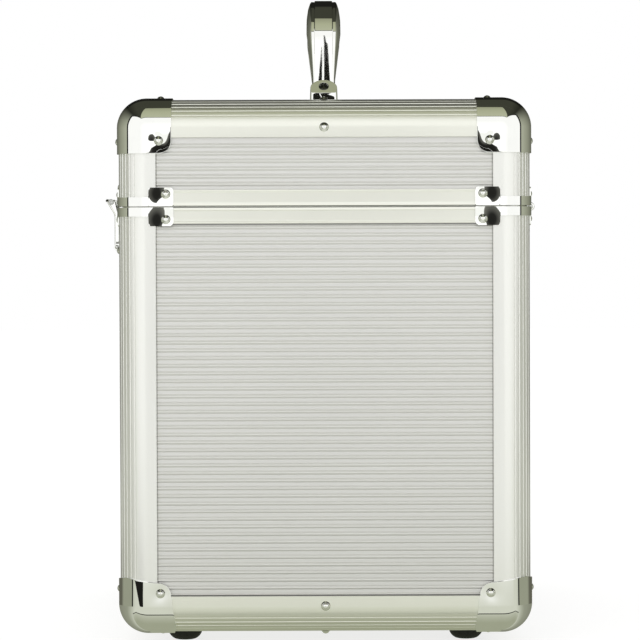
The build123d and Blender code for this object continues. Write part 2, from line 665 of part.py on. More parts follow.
def build():
    """Every node of the case, by name."""
    nodes = {}
    names = ("front_left", "back_left", "front_right", "back_right")

    base_post = corner_post(BOTTOM + EDGE_R + END_GAP, PART_Z - GAP - WEB)
    lid_post = corner_post(PART_Z + GAP + WEB, TOP - EDGE_R - END_GAP)
    for name, shape in zip(names, corners(base_post)):
        nodes[f"base_post_{name}"] = shape
    for name, shape in zip(names, corners(lid_post)):
        nodes[f"lid_post_{name}"] = shape

    front, left = rail_front(), rail_left()
    rails = {"front": front, "back": mirror(front, about=Plane.XZ),
             "left": left, "right": mirror(left, about=Plane.YZ)}
    for name, shape in rails.items():
        nodes[f"bottom_rail_{name}"] = shape
        nodes[f"top_rail_{name}"] = flipped(shape)
    nodes["base_rim_frame"] = rim_frame(-1)
    nodes["lid_rim_frame"] = rim_frame(1)

    base_top = PART_Z - GAP - WEB - 0.5
    last = BOTTOM + BASE_RIB_START + (BASE_RIBS - 1) * RIB_PITCH
    panels = wall_panels(BOTTOM + PANEL_EDGE, base_top, last, BASE_RIBS)
    for name, shape in panels.items():
        nodes[f"{name}_panel"] = shape
    lid_low = PART_Z + GAP + WEB + 0.5
    panels = wall_panels(lid_low, TOP - PANEL_EDGE, TOP - LID_RIB_START, LID_RIBS)
    for name, shape in panels.items():
        nodes[f"lid_{name}_panel"] = shape
    nodes["floor_panel"] = flat_panel(BOTTOM, 1)
    nodes["lid_top_panel"] = flat_panel(TOP, -1)

    nodes["base_corner_caps"] = group(corners(corner_cap(CAP_ARM_LOW, CAP_SLANT)))
    nodes["lid_corner_caps"] = group(corners(flipped(corner_cap(CAP_ARM, 0))))
    lid_bracket = edge_bracket()
    base_bracket = mirror(lid_bracket, about=Plane.XY.offset(PART_Z))
    nodes["base_edge_brackets"] = group(corners(base_bracket))
    nodes["lid_edge_brackets"] = group(corners(lid_bracket))
    rivets = edge_rivets()
    nodes["base_rivets"] = group(rivets + bracket_rivets(-1) + plate_rivets(-1))
    nodes["lid_rivets"] = group([flipped(r) for r in rivets]
                                + bracket_rivets(1) + plate_rivets(1))

    nodes["rubber_feet"] = group(corners(rubber_foot()))
    nodes["wall_lining"] = group(foam_linings())
    nodes["floor_pad"] = foam_pad(BOTTOM + INNER, BOTTOM + INNER + FLOOR_PAD)
    nodes["lid_pad"] = foam_pad(TOP - INNER - LID_PAD, TOP - INNER)

    for name, x in (("left", -LATCH_X), ("right", LATCH_X)):
        at = Pos(x, 0, 0)
        nodes[f"latch_plate_{name}"] = at * latch_plate()
        nodes[f"latch_lever_{name}"] = at * latch_lever()
        nodes[f"latch_hook_bar_{name}"] = at * hook_bar()
        nodes[f"lock_cylinder_{name}"] = at * lock_cylinder()
        nodes[f"latch_keeper_{name}"] = at * latch_keeper()
    nodes["latch_pins"] = group(at_both([latch_pin()], LATCH_X))
    nodes["hinge_base_leaves"] = group(at_both([hinge_leaf(-1)], HINGE_X))
    nodes["hinge_lid_leaves"] = group(at_both([hinge_leaf(1)], HINGE_X))
    nodes["hinge_pins"] = group(at_both([hinge_pin()], HINGE_X))

    bracket = handle_bracket()
    nodes["handle_bracket_right"] = bracket
    nodes["handle_bracket_left"] = mirror(bracket, about=Plane.YZ)
    for name, shape in (("pins", handle_pin()), ("screws", bracket_screw())):
        nodes[f"handle_{name}"] = group([shape, mirror(shape, about=Plane.YZ)])
    nodes["handle_shell"] = handle_shell()
    nodes["handle_grip"] = grip_block()
    return nodes


def main():
    os.makedirs("parts", exist_ok=True)
    for name, shape in build().items():
        export_step(shape, f"parts/{name}.step")


main()
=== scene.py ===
"""Record carrying case: the visible model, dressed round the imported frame.

Every length in the classes is in millimetres; a mesh becomes metres when it
is made into an object. +Z is up, the latches are at -Y, the hinges at +Y and
the handle runs along X.
"""
from __future__ import annotations

import logging
import math
from dataclasses import dataclass
from enum import Enum
from typing import Callable, Iterable, Sequence

import bmesh
import bpy
from mathutils import Matrix, Vector

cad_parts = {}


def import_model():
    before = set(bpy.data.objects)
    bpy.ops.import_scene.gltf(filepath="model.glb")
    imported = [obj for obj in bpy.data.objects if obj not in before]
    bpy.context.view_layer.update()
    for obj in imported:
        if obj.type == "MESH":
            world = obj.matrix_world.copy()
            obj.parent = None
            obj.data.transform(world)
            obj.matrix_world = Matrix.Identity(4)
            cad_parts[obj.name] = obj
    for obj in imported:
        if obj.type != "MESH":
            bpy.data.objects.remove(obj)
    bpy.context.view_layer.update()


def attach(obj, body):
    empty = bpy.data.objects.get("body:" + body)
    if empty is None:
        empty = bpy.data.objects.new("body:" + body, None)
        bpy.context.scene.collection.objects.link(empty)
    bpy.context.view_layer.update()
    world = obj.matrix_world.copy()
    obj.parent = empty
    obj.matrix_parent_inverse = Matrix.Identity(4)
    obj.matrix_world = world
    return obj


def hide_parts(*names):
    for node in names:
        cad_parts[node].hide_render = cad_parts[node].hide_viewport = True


LOG = logging.getLogger("record_case")
MM = 0.001
DOUBLES = 0.002 * MM
Pair = tuple[float, float]
Triple = tuple[float, float, float]
Object, Mesh = bpy.types.Object, bpy.types.Mesh
CORNERS = ((1, 1), (1, -1), (-1, 1), (-1, -1))
FRONT, BACK, LEFT, RIGHT = (0, -1, 0), (0, 1, 0), (-1, 0, 0), (1, 0, 0)


# --- shader and trees ---

def operator(operation: str, turned: bool = False) -> Callable:
    """Method that joins self and another value by a Math node.

    Args:
        operation: the Math node's operation; comparisons give 1 or 0.
        turned: puts the other value first.

    Returns:
        The method.
    """
    def method(self: "Sock", other: object) -> "Sock":
        """The Math node's result."""
        first, second = (other, self) if turned else (self, other)
        return self.graph.node("ShaderNodeMath", {"operation": operation},
                               {0: first, 1: second})

    return method


class Sock:
    """A node's output that sums and products can be written with."""

    __add__ = __radd__ = operator("ADD")
    __sub__, __rsub__ = operator("SUBTRACT"), operator("SUBTRACT", turned=True)
    __mul__ = __rmul__ = operator("MULTIPLY")
    __truediv__ = operator("DIVIDE")
    __lt__, __gt__ = operator("LESS_THAN"), operator("GREATER_THAN")

    def __init__(self, graph: "Graph", socket: bpy.types.NodeSocket) -> None:
        """Wraps one output socket of a node in the graph."""
        self.graph, self.socket = graph, socket

    def of(self, operation: str, *values: object) -> "Sock":
        """Any other Math operation with self as its first value."""
        return self.graph.node("ShaderNodeMath", {"operation": operation},
                               dict(enumerate((self, *values))))


class Graph:
    """Adds nodes to one node tree."""

    def __init__(self, tree: bpy.types.NodeTree) -> None:
        """Starts from the given tree, emptied."""
        self.tree = tree
        tree.nodes.clear()

    def node(self, kind: str, settings: dict | None = None,
             inputs: dict | None = None, out: int | str = 0) -> Sock:
        """Adds a node.

        Args:
            kind: the node's type, such as "ShaderNodeMath".
            settings: its own settings, set first; "stops" fills a ramp.
            inputs: values or Socks by socket name or index.
            out: which of its outputs is returned.

        Returns:
            The chosen output.
        """
        made = self.tree.nodes.new(kind)
        for name, value in (settings or {}).items():
            if name == "stops":
                elements = made.color_ramp.elements
                while len(elements) < len(value):
                    elements.new(0.5)
                for element, (place, level) in zip(elements, value):
                    element.position = place
                    shade = (level,) * 3 if isinstance(level, (int, float)) else level
                    element.color = (*shade, 1.0)
            else:
                setattr(made, name, value)
        for name, value in (inputs or {}).items():
            if isinstance(value, Sock):
                self.tree.links.new(value.socket, made.inputs[name])
            else:
                target = made.inputs[name]
                if target.type == "RGBA" and len(value) == 3:
                    value = (*value, 1.0)
                target.default_value = value
        return Sock(self, made.outputs[out] if len(made.outputs) else None)

    def mixed(self, factor: object, first: object, second: object) -> Sock:
        """Colour between first and second by factor."""
        return self.node("ShaderNodeMix", {"data_type": "RGBA"},
                         {0: factor, 6: first, 7: second}, 2)

    def ramp(self, value: Sock, stops: Sequence[tuple[float, object]]) -> Sock:
        """Value taken through a colour ramp."""
        return self.node("ShaderNodeValToRGB", {"stops": stops}, {0: value})

    def noise(self, place: Sock, scale: float, detail: float = 3.0,
              rough: float = 0.5) -> Sock:
        """Noise between 0 and 1 at the place."""
        return self.node("ShaderNodeTexNoise", {},
                         {"Vector": place, "Scale": scale, "Detail": detail,
                          "Roughness": rough})

    def stretched(self, place: Sock, scale: Triple) -> Sock:
        """Place scaled by a different number along each axis."""
        return self.node("ShaderNodeMapping", {}, {"Vector": place, "Scale": scale})

    def parts(self, vector: Sock) -> list[Sock]:
        """The vector's x, y and z."""
        first = self.node("ShaderNodeSeparateXYZ", {}, {0: vector})
        return [Sock(self, o) for o in first.socket.node.outputs]


# --- finishes ---

class Grain(Enum):
    """Direction that a drawn or brushed surface runs in, as noise scales."""

    ALONG_X = (4.0, 1500.0, 1500.0)
    ALONG_Y = (1500.0, 4.0, 1500.0)
    ALONG_Z = (1500.0, 1500.0, 4.0)


@dataclass(frozen=True)
class Finish:
    """What every finish has: a name and the record's material slot."""

    name: str
    slot: str
    color: Triple = (0.8, 0.8, 0.8)
    metallic: float = 0.0
    roughness: float = 0.5

    def material(self) -> bpy.types.Material:
        """The finish's material, made the first time it is asked for.

        Returns:
            The material.
        """
        found = bpy.data.materials.get(self.name)
        if found:
            return found
        made = bpy.data.materials.new(self.name)
        made.use_nodes = True
        graph = Graph(made.node_tree)
        inputs: dict[str, object] = {"Base Color": self.color,
                                     "Metallic": self.metallic,
                                     "Roughness": self.roughness}
        place = graph.node("ShaderNodeTexCoord", out="Object")
        inputs.update(self.coat(graph, place))
        shader = graph.node("ShaderNodeBsdfPrincipled", {}, inputs)
        graph.node("ShaderNodeOutputMaterial", {}, {"Surface": shader})
        made.diffuse_color = (*self.color, 1.0)
        return made

    def coat(self, graph: Graph, place: Sock) -> dict[str, object]:
        """Shader inputs that differ from the plain ones.

        Args:
            graph: where nodes are added.
            place: Object coordinates, in metres.

        Returns:
            Values or links by the shader's socket names.
        """
        return {}

    def bump(self, graph: Graph, height: Sock, strength: float,
             depth: float) -> Sock:
        """Normal from a height: strength 0 to 1, depth in metres."""
        return graph.node("ShaderNodeBump", {},
                          {"Strength": strength, "Distance": depth,
                           "Height": height})

    def scaled(self, share: float) -> Triple:
        """The colour at a share of its brightness."""
        return tuple(min(1.0, c * share) for c in self.color)

    def tones(self, graph: Graph, factor: Sock, darker: float,
              lighter: float) -> Sock:
        """The colour between two brightnesses of itself, by factor."""
        return graph.mixed(factor, self.scaled(darker), self.scaled(lighter))


@dataclass(frozen=True)
class Anodised(Finish):
    """Satin anodised aluminium with die lines along its length.

    A seam, where set, is the height in metres of a parting plane whose shut
    gap is painted as a line of shade between two distances on either side of it.
    """

    grain: Grain = Grain.ALONG_Z
    seam: float = 0.0
    gap_shade_edges: Pair = (0.0003, 0.00067)
    gap_shade_color: Triple = (0.03, 0.03, 0.027)

    def coat(self, graph: Graph, place: Sock) -> dict[str, object]:
        """Die lines, faint clouding and small rub marks, and painted shade at the
        seam's shut gap.

        Args:
            graph: where nodes are added.
            place: Object coordinates, in metres.

        Returns:
            Values or links by the shader's socket names.
        """
        lines = graph.noise(graph.stretched(place, self.grain.value), 1.0, 2.0)
        cloud = graph.noise(place, 16.0, 4.0, 0.6)
        marks = graph.ramp(graph.noise(place, 85.0, 5.0, 0.7),
                           [(0.62, 0.0), (0.70, 1.0)])
        tone = cloud * 0.7 + lines * 0.3 - marks * 0.12
        color = self.tones(graph, tone, 0.97, 1.03)
        if self.seam:
            # Painted shade: the shut gap at the parting plane is darkened in the base
            # colour.
            off = (graph.parts(place)[2] - self.seam).of("ABSOLUTE")
            near, far = self.gap_shade_edges
            color = graph.mixed((off > near) * (off < far), color, self.gap_shade_color)
        return {"Base Color": color,
                "Roughness": lines * 0.05 + cloud * 0.05 + marks * 0.04
                + (self.roughness - 0.05),
                "Normal": self.bump(graph, lines, 0.04, 0.00002)}


@dataclass(frozen=True)
class Laminate(Finish):
    """Silver-grey laminate of the ribbed sheets, very finely speckled.

    The joints are bands of height in metres and the share of the colour left
    The painted joint shade is a set of bands of height in metres, where the
    sheet meets a rail or the rim, each with the share of the colour left in its
    painted shade; beside holds the distances from the middle, in X and Y, past
    which the sheet is painted darker as shade from a post's lip.
    """

    joints: tuple[Triple, ...] = ((0.0378, 0.0388, 0.22), (0.2962, 0.2972, 0.4))
    beside: Pair = (0.1474, 0.1164)
    beside_share: float = 0.62

    def coat(self, graph: Graph, place: Sock) -> dict[str, object]:
        """Fine metallic speckle, broad clouding, a soft pebble, and painted shade at
        the joints and beside the posts.

        Args:
            graph: where nodes are added.
            place: Object coordinates, in metres.

        Returns:
            Values or links by the shader's socket names.
        """
        speck = graph.noise(place, 2600.0, 2.0, 0.7)
        cloud = graph.noise(place, 9.0, 3.0, 0.55)
        streak = graph.noise(graph.stretched(place, (3.0, 3.0, 260.0)), 1.0, 2.0)
        tone = speck * 0.45 + cloud * 0.35 + streak * 0.2
        color = self.tones(graph, tone, 0.93, 1.07)
        x, y, z = graph.parts(place)
        # Painted shade: dark bands where the sheet meets a rail or the rim, and darker
        # corners beside the posts.
        for low, high, share in self.joints:
            color = graph.mixed((z > low) * (z < high), color, self.scaled(share))
        shaded = ((x.of("ABSOLUTE") > self.beside[0])
                  * (y.of("ABSOLUTE") > self.beside[1]))
        color = graph.mixed(shaded, color, self.scaled(self.beside_share))
        return {"Base Color": color,
                "Roughness": speck * 0.12 + streak * 0.08 + (self.roughness - 0.1),
                "Normal": self.bump(graph, speck, 0.25, 0.00004)}


@dataclass(frozen=True)
class Plated(Finish):
    """Bright plating with a few smears and hairline scratches."""

    smear: float = 0.10
    ripple: float = 0.22
    hairline: float = 0.05

    def coat(self, graph: Graph, place: Sock) -> dict[str, object]:
        """Smears that dull it, hairlines, and a faint waviness.

        Args:
            graph: where nodes are added.
            place: Object coordinates, in metres.

        Returns:
            Values or links by the shader's socket names.
        """
        cloud = graph.ramp(graph.noise(place, 60.0, 4.0, 0.6),
                           [(0.45, 0.0), (0.75, 1.0)])
        slant = graph.noise(graph.stretched(place, (2200.0, 240.0, 90.0)), 1.0, 2.0)
        hair = graph.ramp(slant, [(0.66, 0.0), (0.70, 1.0)])
        wave = graph.noise(place, 120.0, 1.0, 0.4)
        return {"Base Color": self.tones(graph, cloud * 0.6 + hair * 0.4, 1.0, 0.94),
                "Roughness": cloud * self.smear + hair * self.hairline
                + self.roughness,
                "Normal": self.bump(graph, wave * 0.8 + hair * self.hairline,
                                    self.ripple, 0.00012)}


@dataclass(frozen=True)
class Moulded(Finish):
    """Moulded rubber or plastic with a pebbled skin."""

    pebble: float = 900.0
    depth: float = 0.00012

    def coat(self, graph: Graph, place: Sock) -> dict[str, object]:
        """Pebbled skin, worn a little shinier in patches.

        Args:
            graph: where nodes are added.
            place: Object coordinates, in metres.

        Returns:
            Values or links by the shader's socket names.
        """
        cells = graph.node("ShaderNodeTexVoronoi", {"feature": "SMOOTH_F1"},
                           {"Vector": place, "Scale": self.pebble})
        patch = graph.noise(place, 40.0, 4.0, 0.6)
        tone = patch * 0.6 + cells * 0.4
        return {"Base Color": self.tones(graph, tone, 0.75, 1.6),
                "Roughness": patch * -0.16 + cells * 0.06 + (self.roughness + 0.08),
                "Normal": self.bump(graph, cells, 0.6, self.depth)}


@dataclass(frozen=True)
class Foam(Finish):
    """Open-celled dark foam."""

    def coat(self, graph: Graph, place: Sock) -> dict[str, object]:
        """Pores in two sizes and a little dust on the skin.

        Args:
            graph: where nodes are added.
            place: Object coordinates, in metres.

        Returns:
            Values or links by the shader's socket names.
        """
        pores = graph.node("ShaderNodeTexVoronoi", {"feature": "F1"},
                           {"Vector": place, "Scale": 700.0})
        fine = graph.noise(place, 1800.0, 3.0, 0.7)
        dust = graph.ramp(graph.noise(place, 22.0, 5.0, 0.65),
                          [(0.5, 0.0), (0.8, 1.0)])
        tone = pores * 0.7 + fine * 0.5 + dust * 0.25
        return {"Base Color": self.tones(graph, tone, 0.45, 1.7),
                "Roughness": fine * 0.1 + (self.roughness - 0.05),
                "Normal": self.bump(graph, pores + fine * 0.5, 0.8, 0.0006),
                "Sheen Weight": 0.25, "Sheen Roughness": 0.5}


METAL = (0.96, 0.963, 0.895)
RAIL_X = Anodised("anodised_along_x", "extrusion", METAL, 0.945, 0.33,
                  Grain.ALONG_X)
RAIL_Y = Anodised("anodised_along_y", "extrusion", METAL, 0.945, 0.33,
                  Grain.ALONG_Y)
# The rim's seam is painted shade along the shut gap at the parting plane.
RIM_METAL = Anodised("anodised_rim", "extrusion", METAL, 0.94, 0.33,
                     Grain.ALONG_Y, seam=0.309)
# Painted light: the posts get a lighter copy of the anodised colour, so that they read
# brighter than the rails.
LIT_POST = Anodised("anodised_along_z", "extrusion", (1.0, 1.0, 0.96), 0.78, 0.31,
                Grain.ALONG_Z)
SHEET = Laminate("silver_laminate", "ribbed_panel", (0.835, 0.83, 0.815), 0.50, 0.36)
CHROME = Plated("bright_chrome", "chrome", (0.975, 0.977, 0.965), 1.0, 0.009,
                smear=0.006, ripple=0.010, hairline=0.008)
STEEL = Plated("plated_steel", "chrome", (0.66, 0.665, 0.65), 1.0, 0.16, 0.16)
DARK_STEEL = Plated("dark_steel", "chrome", (0.10, 0.10, 0.09), 1.0, 0.22, 0.1)
BRASS = Plated("nickel_brass", "lock_brass", (0.76, 0.70, 0.56), 1.0, 0.14, 0.14)
RUBBER = Moulded("black_rubber", "rubber", (0.020, 0.020, 0.018), 0.0, 0.62)
GRIP = Moulded("grained_grip", "grip", (0.022, 0.022, 0.023), 0.0, 0.5,
               620.0, 0.0002)
FOAM = Foam("charcoal_foam", "foam", (0.032, 0.033, 0.036), 0.0, 0.92)


# --- meshes ---

def frame_at(origin: Triple, x_dir: Triple, y_dir: Triple) -> Matrix:
    """Matrix of a local frame: its third axis is x_dir across y_dir.

    Args:
        origin: where its zero lies.
        x_dir: its first axis.
        y_dir: its second axis.

    Returns:
        The matrix.
    """
    x, y = Vector(x_dir).normalized(), Vector(y_dir).normalized()
    z = x.cross(y)
    rows = [[x[i], y[i], z[i], origin[i]] for i in range(3)]
    return Matrix(rows + [[0.0, 0.0, 0.0, 1.0]])


def facing(origin: Triple, normal: Triple) -> Matrix:
    """Matrix of a frame whose Z is the normal."""
    turn = Vector((0, 0, 1)).rotation_difference(Vector(normal).normalized())
    return Matrix.Translation(Vector(origin)) @ turn.to_matrix().to_4x4()


def arc(centre: Pair, radius: float, start: float, end: float,
        steps: int) -> list[Pair]:
    """Points on an arc, in degrees, both ends included.

    Args:
        centre: middle of the arc's circle.
        radius: its radius.
        start: first angle.
        end: last angle.
        steps: pieces between them.

    Returns:
        The points.
    """
    turns = [math.radians(start + (end - start) * i / steps)
             for i in range(steps + 1)]
    return [(centre[0] + radius * math.cos(a), centre[1] + radius * math.sin(a))
            for a in turns]


def between(x: float, stops: Sequence[Pair]) -> float:
    """Value at x on the line through the stops.

    Args:
        x: where the value is read.
        stops: (x, value) pairs, x rising.

    Returns:
        The value, the same beyond an end as at it.
    """
    for (a, first), (b, second) in zip(stops, stops[1:]):
        if x < b:
            return first + (second - first) * max(0.0, x - a) / (b - a)
    return stops[-1][1]


def rounded(points: Sequence[Pair], radii: Sequence[float],
            steps: int = 4) -> list[Pair]:
    """Closed outline with each corner rounded by its own radius.

    Args:
        points: the outline's corners.
        radii: a radius for each; 0 leaves it sharp.
        steps: pieces round each corner.

    Returns:
        The outline's points.
    """
    made: list[Pair] = []
    count = len(points)
    for i, radius in enumerate(radii):
        here = Vector(points[i])
        before = (Vector(points[i - 1]) - here)
        after = (Vector(points[(i + 1) % count]) - here)
        if radius <= 0:
            made.append(tuple(here))
            continue
        u, v = before.normalized(), after.normalized()
        half = math.acos(max(-1.0, min(1.0, u.dot(v)))) / 2
        reach = min(radius / math.tan(half), 0.499 * before.length,
                    0.499 * after.length)
        for k in range(steps + 1):
            t = k / steps
            first, last = here + u * reach, here + v * reach
            made.append(tuple((1 - t) ** 2 * first + 2 * t * (1 - t) * here
                              + t * t * last))
    return made


def smooth_line(points: Sequence[Pair], steps: int = 6) -> list[Pair]:
    """Catmull-Rom line through the points.

    Args:
        points: what it passes through.
        steps: pieces between two of them.

    Returns:
        The line's points.
    """
    made: list[Pair] = []
    ends = [points[0], *points, points[-1]]
    for i in range(len(points) - 1):
        a, b, c, d = (Vector(p) for p in ends[i:i + 4])
        for k in range(steps):
            t = k / steps
            made.append(tuple(0.5 * (2 * b + (c - a) * t
                                     + (2 * a - 5 * b + 4 * c - d) * t * t
                                     + (3 * b - a - 3 * c + d) * t ** 3)))
    return made + [tuple(points[-1])]


def both_ends(half: Sequence[Pair]) -> list[Pair]:
    """Closed profile of a pin: half of it and its mirror in height."""
    return [*half, *((r, -z) for r, z in reversed(half))]


def grid_faces(across: int, along: int) -> list[list[int]]:
    """Quads of a grid whose corners are counted along it first.

    Args:
        across: squares across the grid.
        along: squares along it.

    Returns:
        The quads, by their corners' numbers.
    """
    n = along + 1
    return [[i * n + j, (i + 1) * n + j, (i + 1) * n + j + 1, i * n + j + 1]
            for i in range(across) for j in range(along)]


def mesh_of(name: str, verts: Iterable[Sequence[float]],
            faces: Sequence[Sequence[int]], scale: float = MM) -> Mesh:
    """Mesh of the corners, scaled from millimetres unless told otherwise.

    Args:
        name: its name.
        verts: its corners.
        faces: its faces, by their corners' numbers.
        scale: what the corners are multiplied by.

    Returns:
        The mesh.
    """
    mesh = bpy.data.meshes.new(name)
    mesh.from_pydata([Vector(v) * scale for v in verts], [], faces)
    return mesh


def linked(name: str, data: bpy.types.ID) -> Object:
    """Object of the data, linked to the scene.

    Args:
        name: its name.
        data: its mesh, light or camera.

    Returns:
        The object.
    """
    made = bpy.data.objects.new(name, data)
    bpy.context.scene.collection.objects.link(made)
    return made


def ease(made: Object, width: float, segments: int,
         angle: float) -> None:
    """Rounds the edges sharper than an angle, by a width in millimetres.

    Args:
        made: the object.
        width: the rounding's width.
        segments: steps across it.
        angle: least angle, in degrees.
    """
    cut = made.modifiers.new("eased edges", "BEVEL")
    cut.width, cut.segments = width * MM, segments
    cut.limit_method, cut.angle_limit = "ANGLE", math.radians(angle)
    cut.use_clamp_overlap = True


class Shell:
    """Corners and faces of a mesh in millimetres, built up bit by bit."""

    def __init__(self) -> None:
        """Starts empty."""
        self.verts: list[Vector] = []
        self.faces: list[list[int]] = []

    def add(self, verts: Iterable[Sequence[float]],
            faces: Iterable[Sequence[int]]) -> "Shell":
        """Adds corners, and faces that count from the first of them.

        Args:
            verts: the corners.
            faces: the faces.

        Returns:
            The shell itself.
        """
        start = len(self.verts)
        self.verts += [Vector(v) for v in verts]
        self.faces += [[i + start for i in f] for f in faces]
        return self

    def merge(self, other: "Shell", place: Matrix | None = None) -> "Shell":
        """Adds another shell, moved by a matrix; a mirror turns its faces.

        Args:
            other: the other shell.
            place: the matrix, if any.

        Returns:
            The shell itself.
        """
        place = place or Matrix.Identity(4)
        turned = place.to_3x3().determinant() < 0
        return self.add([place @ v for v in other.verts],
                        [f[::-1] if turned else f for f in other.faces])

    def rings(self, rings: Sequence[Sequence[Sequence[float]]],
              capped: bool = True, looped: bool = False) -> "Shell":
        """Skins closed rings one after another.

        Args:
            rings: each a list of points in the same order.
            capped: closes the first and last ring with a face.
            looped: joins the last ring to the first instead.

        Returns:
            The shell itself.
        """
        size, count = len(rings[0]), len(rings)
        faces: list[list[int]] = []
        for r in range(count if looped else count - 1):
            near, far = r * size, (r + 1) % count * size
            faces += [[near + i, near + (i + 1) % size,
                       far + (i + 1) % size, far + i] for i in range(size)]
        if capped and not looped:
            faces += [list(range(size))[::-1],
                      [(count - 1) * size + i for i in range(size)]]
        return self.add([p for ring in rings for p in ring], faces)

    def prism(self, outline: Sequence[Pair], place: Matrix,
              low: float, high: float) -> "Shell":
        """Extrudes an outline in the frame's XY plane between two heights."""
        return self.rings([[place @ Vector((x, y, z)) for x, y in outline]
                           for z in (low, high)])

    def lathe(self, profile: Sequence[Pair], place: Matrix,
              sides: int = 32) -> "Shell":
        """Turns a closed profile of (radius, height) about the frame's Z.

        Args:
            profile: the profile's points.
            place: the frame.
            sides: steps round the turn.

        Returns:
            The shell itself.
        """
        rings = []
        for i in range(sides):
            a = 2 * math.pi * i / sides
            rings.append([place @ Vector((max(r, 1e-4) * math.cos(a),
                                          max(r, 1e-4) * math.sin(a), z))
                          for r, z in profile])
        return self.rings(rings, capped=False, looped=True)

    def rod(self, radius: float, low: float, high: float, place: Matrix,
            sides: int = 28, ease: float = 0.3) -> "Shell":
        """Round bar along the frame's Z with eased ends."""
        profile = [(0, low), (radius - ease, low), (radius, low + ease),
                   (radius, high - ease), (radius - ease, high), (0, high)]
        return self.lathe(profile, place, sides)

    def object(self, name: str, finish: Finish, bevel: float = 0.0,
               angle: float = 35.0, segments: int = 2) -> Object:
        """Makes the shell an object in metres.

        Args:
            name: the piece's name.
            finish: its finish.
            bevel: width of the rounding put on its edges, in millimetres.
            angle: edges sharper than this many degrees are rounded.
            segments: steps across the rounding.

        Returns:
            The object, with its modifiers applied.
        """
        mesh = mesh_of(name, self.verts, self.faces)
        tidy_mesh(mesh)
        made = linked(name, mesh)
        if bevel > 0:
            ease(made, bevel, segments, angle)
            baked(made)
        return finished(made, finish, angle)

    def fitted(self, name: str, body: str, finish: Finish, *nodes: str,
               bevel: float = 0.0, angle: float = 35.0,
               segments: int = 2) -> None:
        """Makes the shell a piece of a body; see object and fit."""
        fit(self.object(name, finish, bevel, angle, segments), body, finish,
            *nodes)


def tidy_mesh(mesh: Mesh) -> None:
    """Merges doubles, drops slivers and turns the faces outwards.

    Args:
        mesh: the mesh, changed in place.
    """
    work = bmesh.new()
    work.from_mesh(mesh)
    bmesh.ops.remove_doubles(work, verts=work.verts, dist=DOUBLES)
    bmesh.ops.dissolve_degenerate(work, edges=work.edges, dist=DOUBLES / 2)
    bmesh.ops.recalc_face_normals(work, faces=work.faces)
    work.to_mesh(mesh)
    work.free()


def baked(made: Object) -> Object:
    """Replaces an object's mesh with what its modifiers make of it.

    Args:
        made: the object.

    Returns:
        The same object, without modifiers.
    """
    graph = bpy.context.evaluated_depsgraph_get()
    mesh = bpy.data.meshes.new_from_object(made.evaluated_get(graph),
                                           preserve_all_data_layers=True,
                                           depsgraph=graph)
    made.modifiers.clear()
    made.data = mesh
    return made


def finished(made: Object, finish: Finish,
             angle: float = 35.0) -> Object:
    """Gives an object its finish and shades it smooth below the angle.

    Args:
        made: the object.
        finish: the finish.
        angle: edges sharper than this many degrees stay sharp.

    Returns:
        The same object.
    """
    made.data.materials.clear()
    made.data.materials.append(finish.material())
    made.data.polygons.foreach_set("use_smooth", [True] * len(made.data.polygons))
    made.data.polygons.foreach_set("material_index", [0] * len(made.data.polygons))
    made.data.set_sharp_from_angle(angle=math.radians(angle))
    even = made.modifiers.new("even normals", "WEIGHTED_NORMAL")
    even.keep_sharp, even.weight = True, 50
    baked(made).data.name = made.name
    return made


def fit(made: Object, body: str, finish: Finish, *nodes: str) -> None:
    """Rides a piece on its body in place of CAD nodes.

    Args:
        made: the piece.
        body: the body that carries it.
        finish: the finish, whose name goes in the log.
        nodes: the CAD nodes that it stands for.
    """
    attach(made, body)
    if nodes:
        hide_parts(*nodes)
    made.data.calc_loop_triangles()
    LOG.info("%s rides on %s: %d triangles, %s", made.name, body,
             len(made.data.loop_triangles), finish.name)


# --- geometry nodes ---

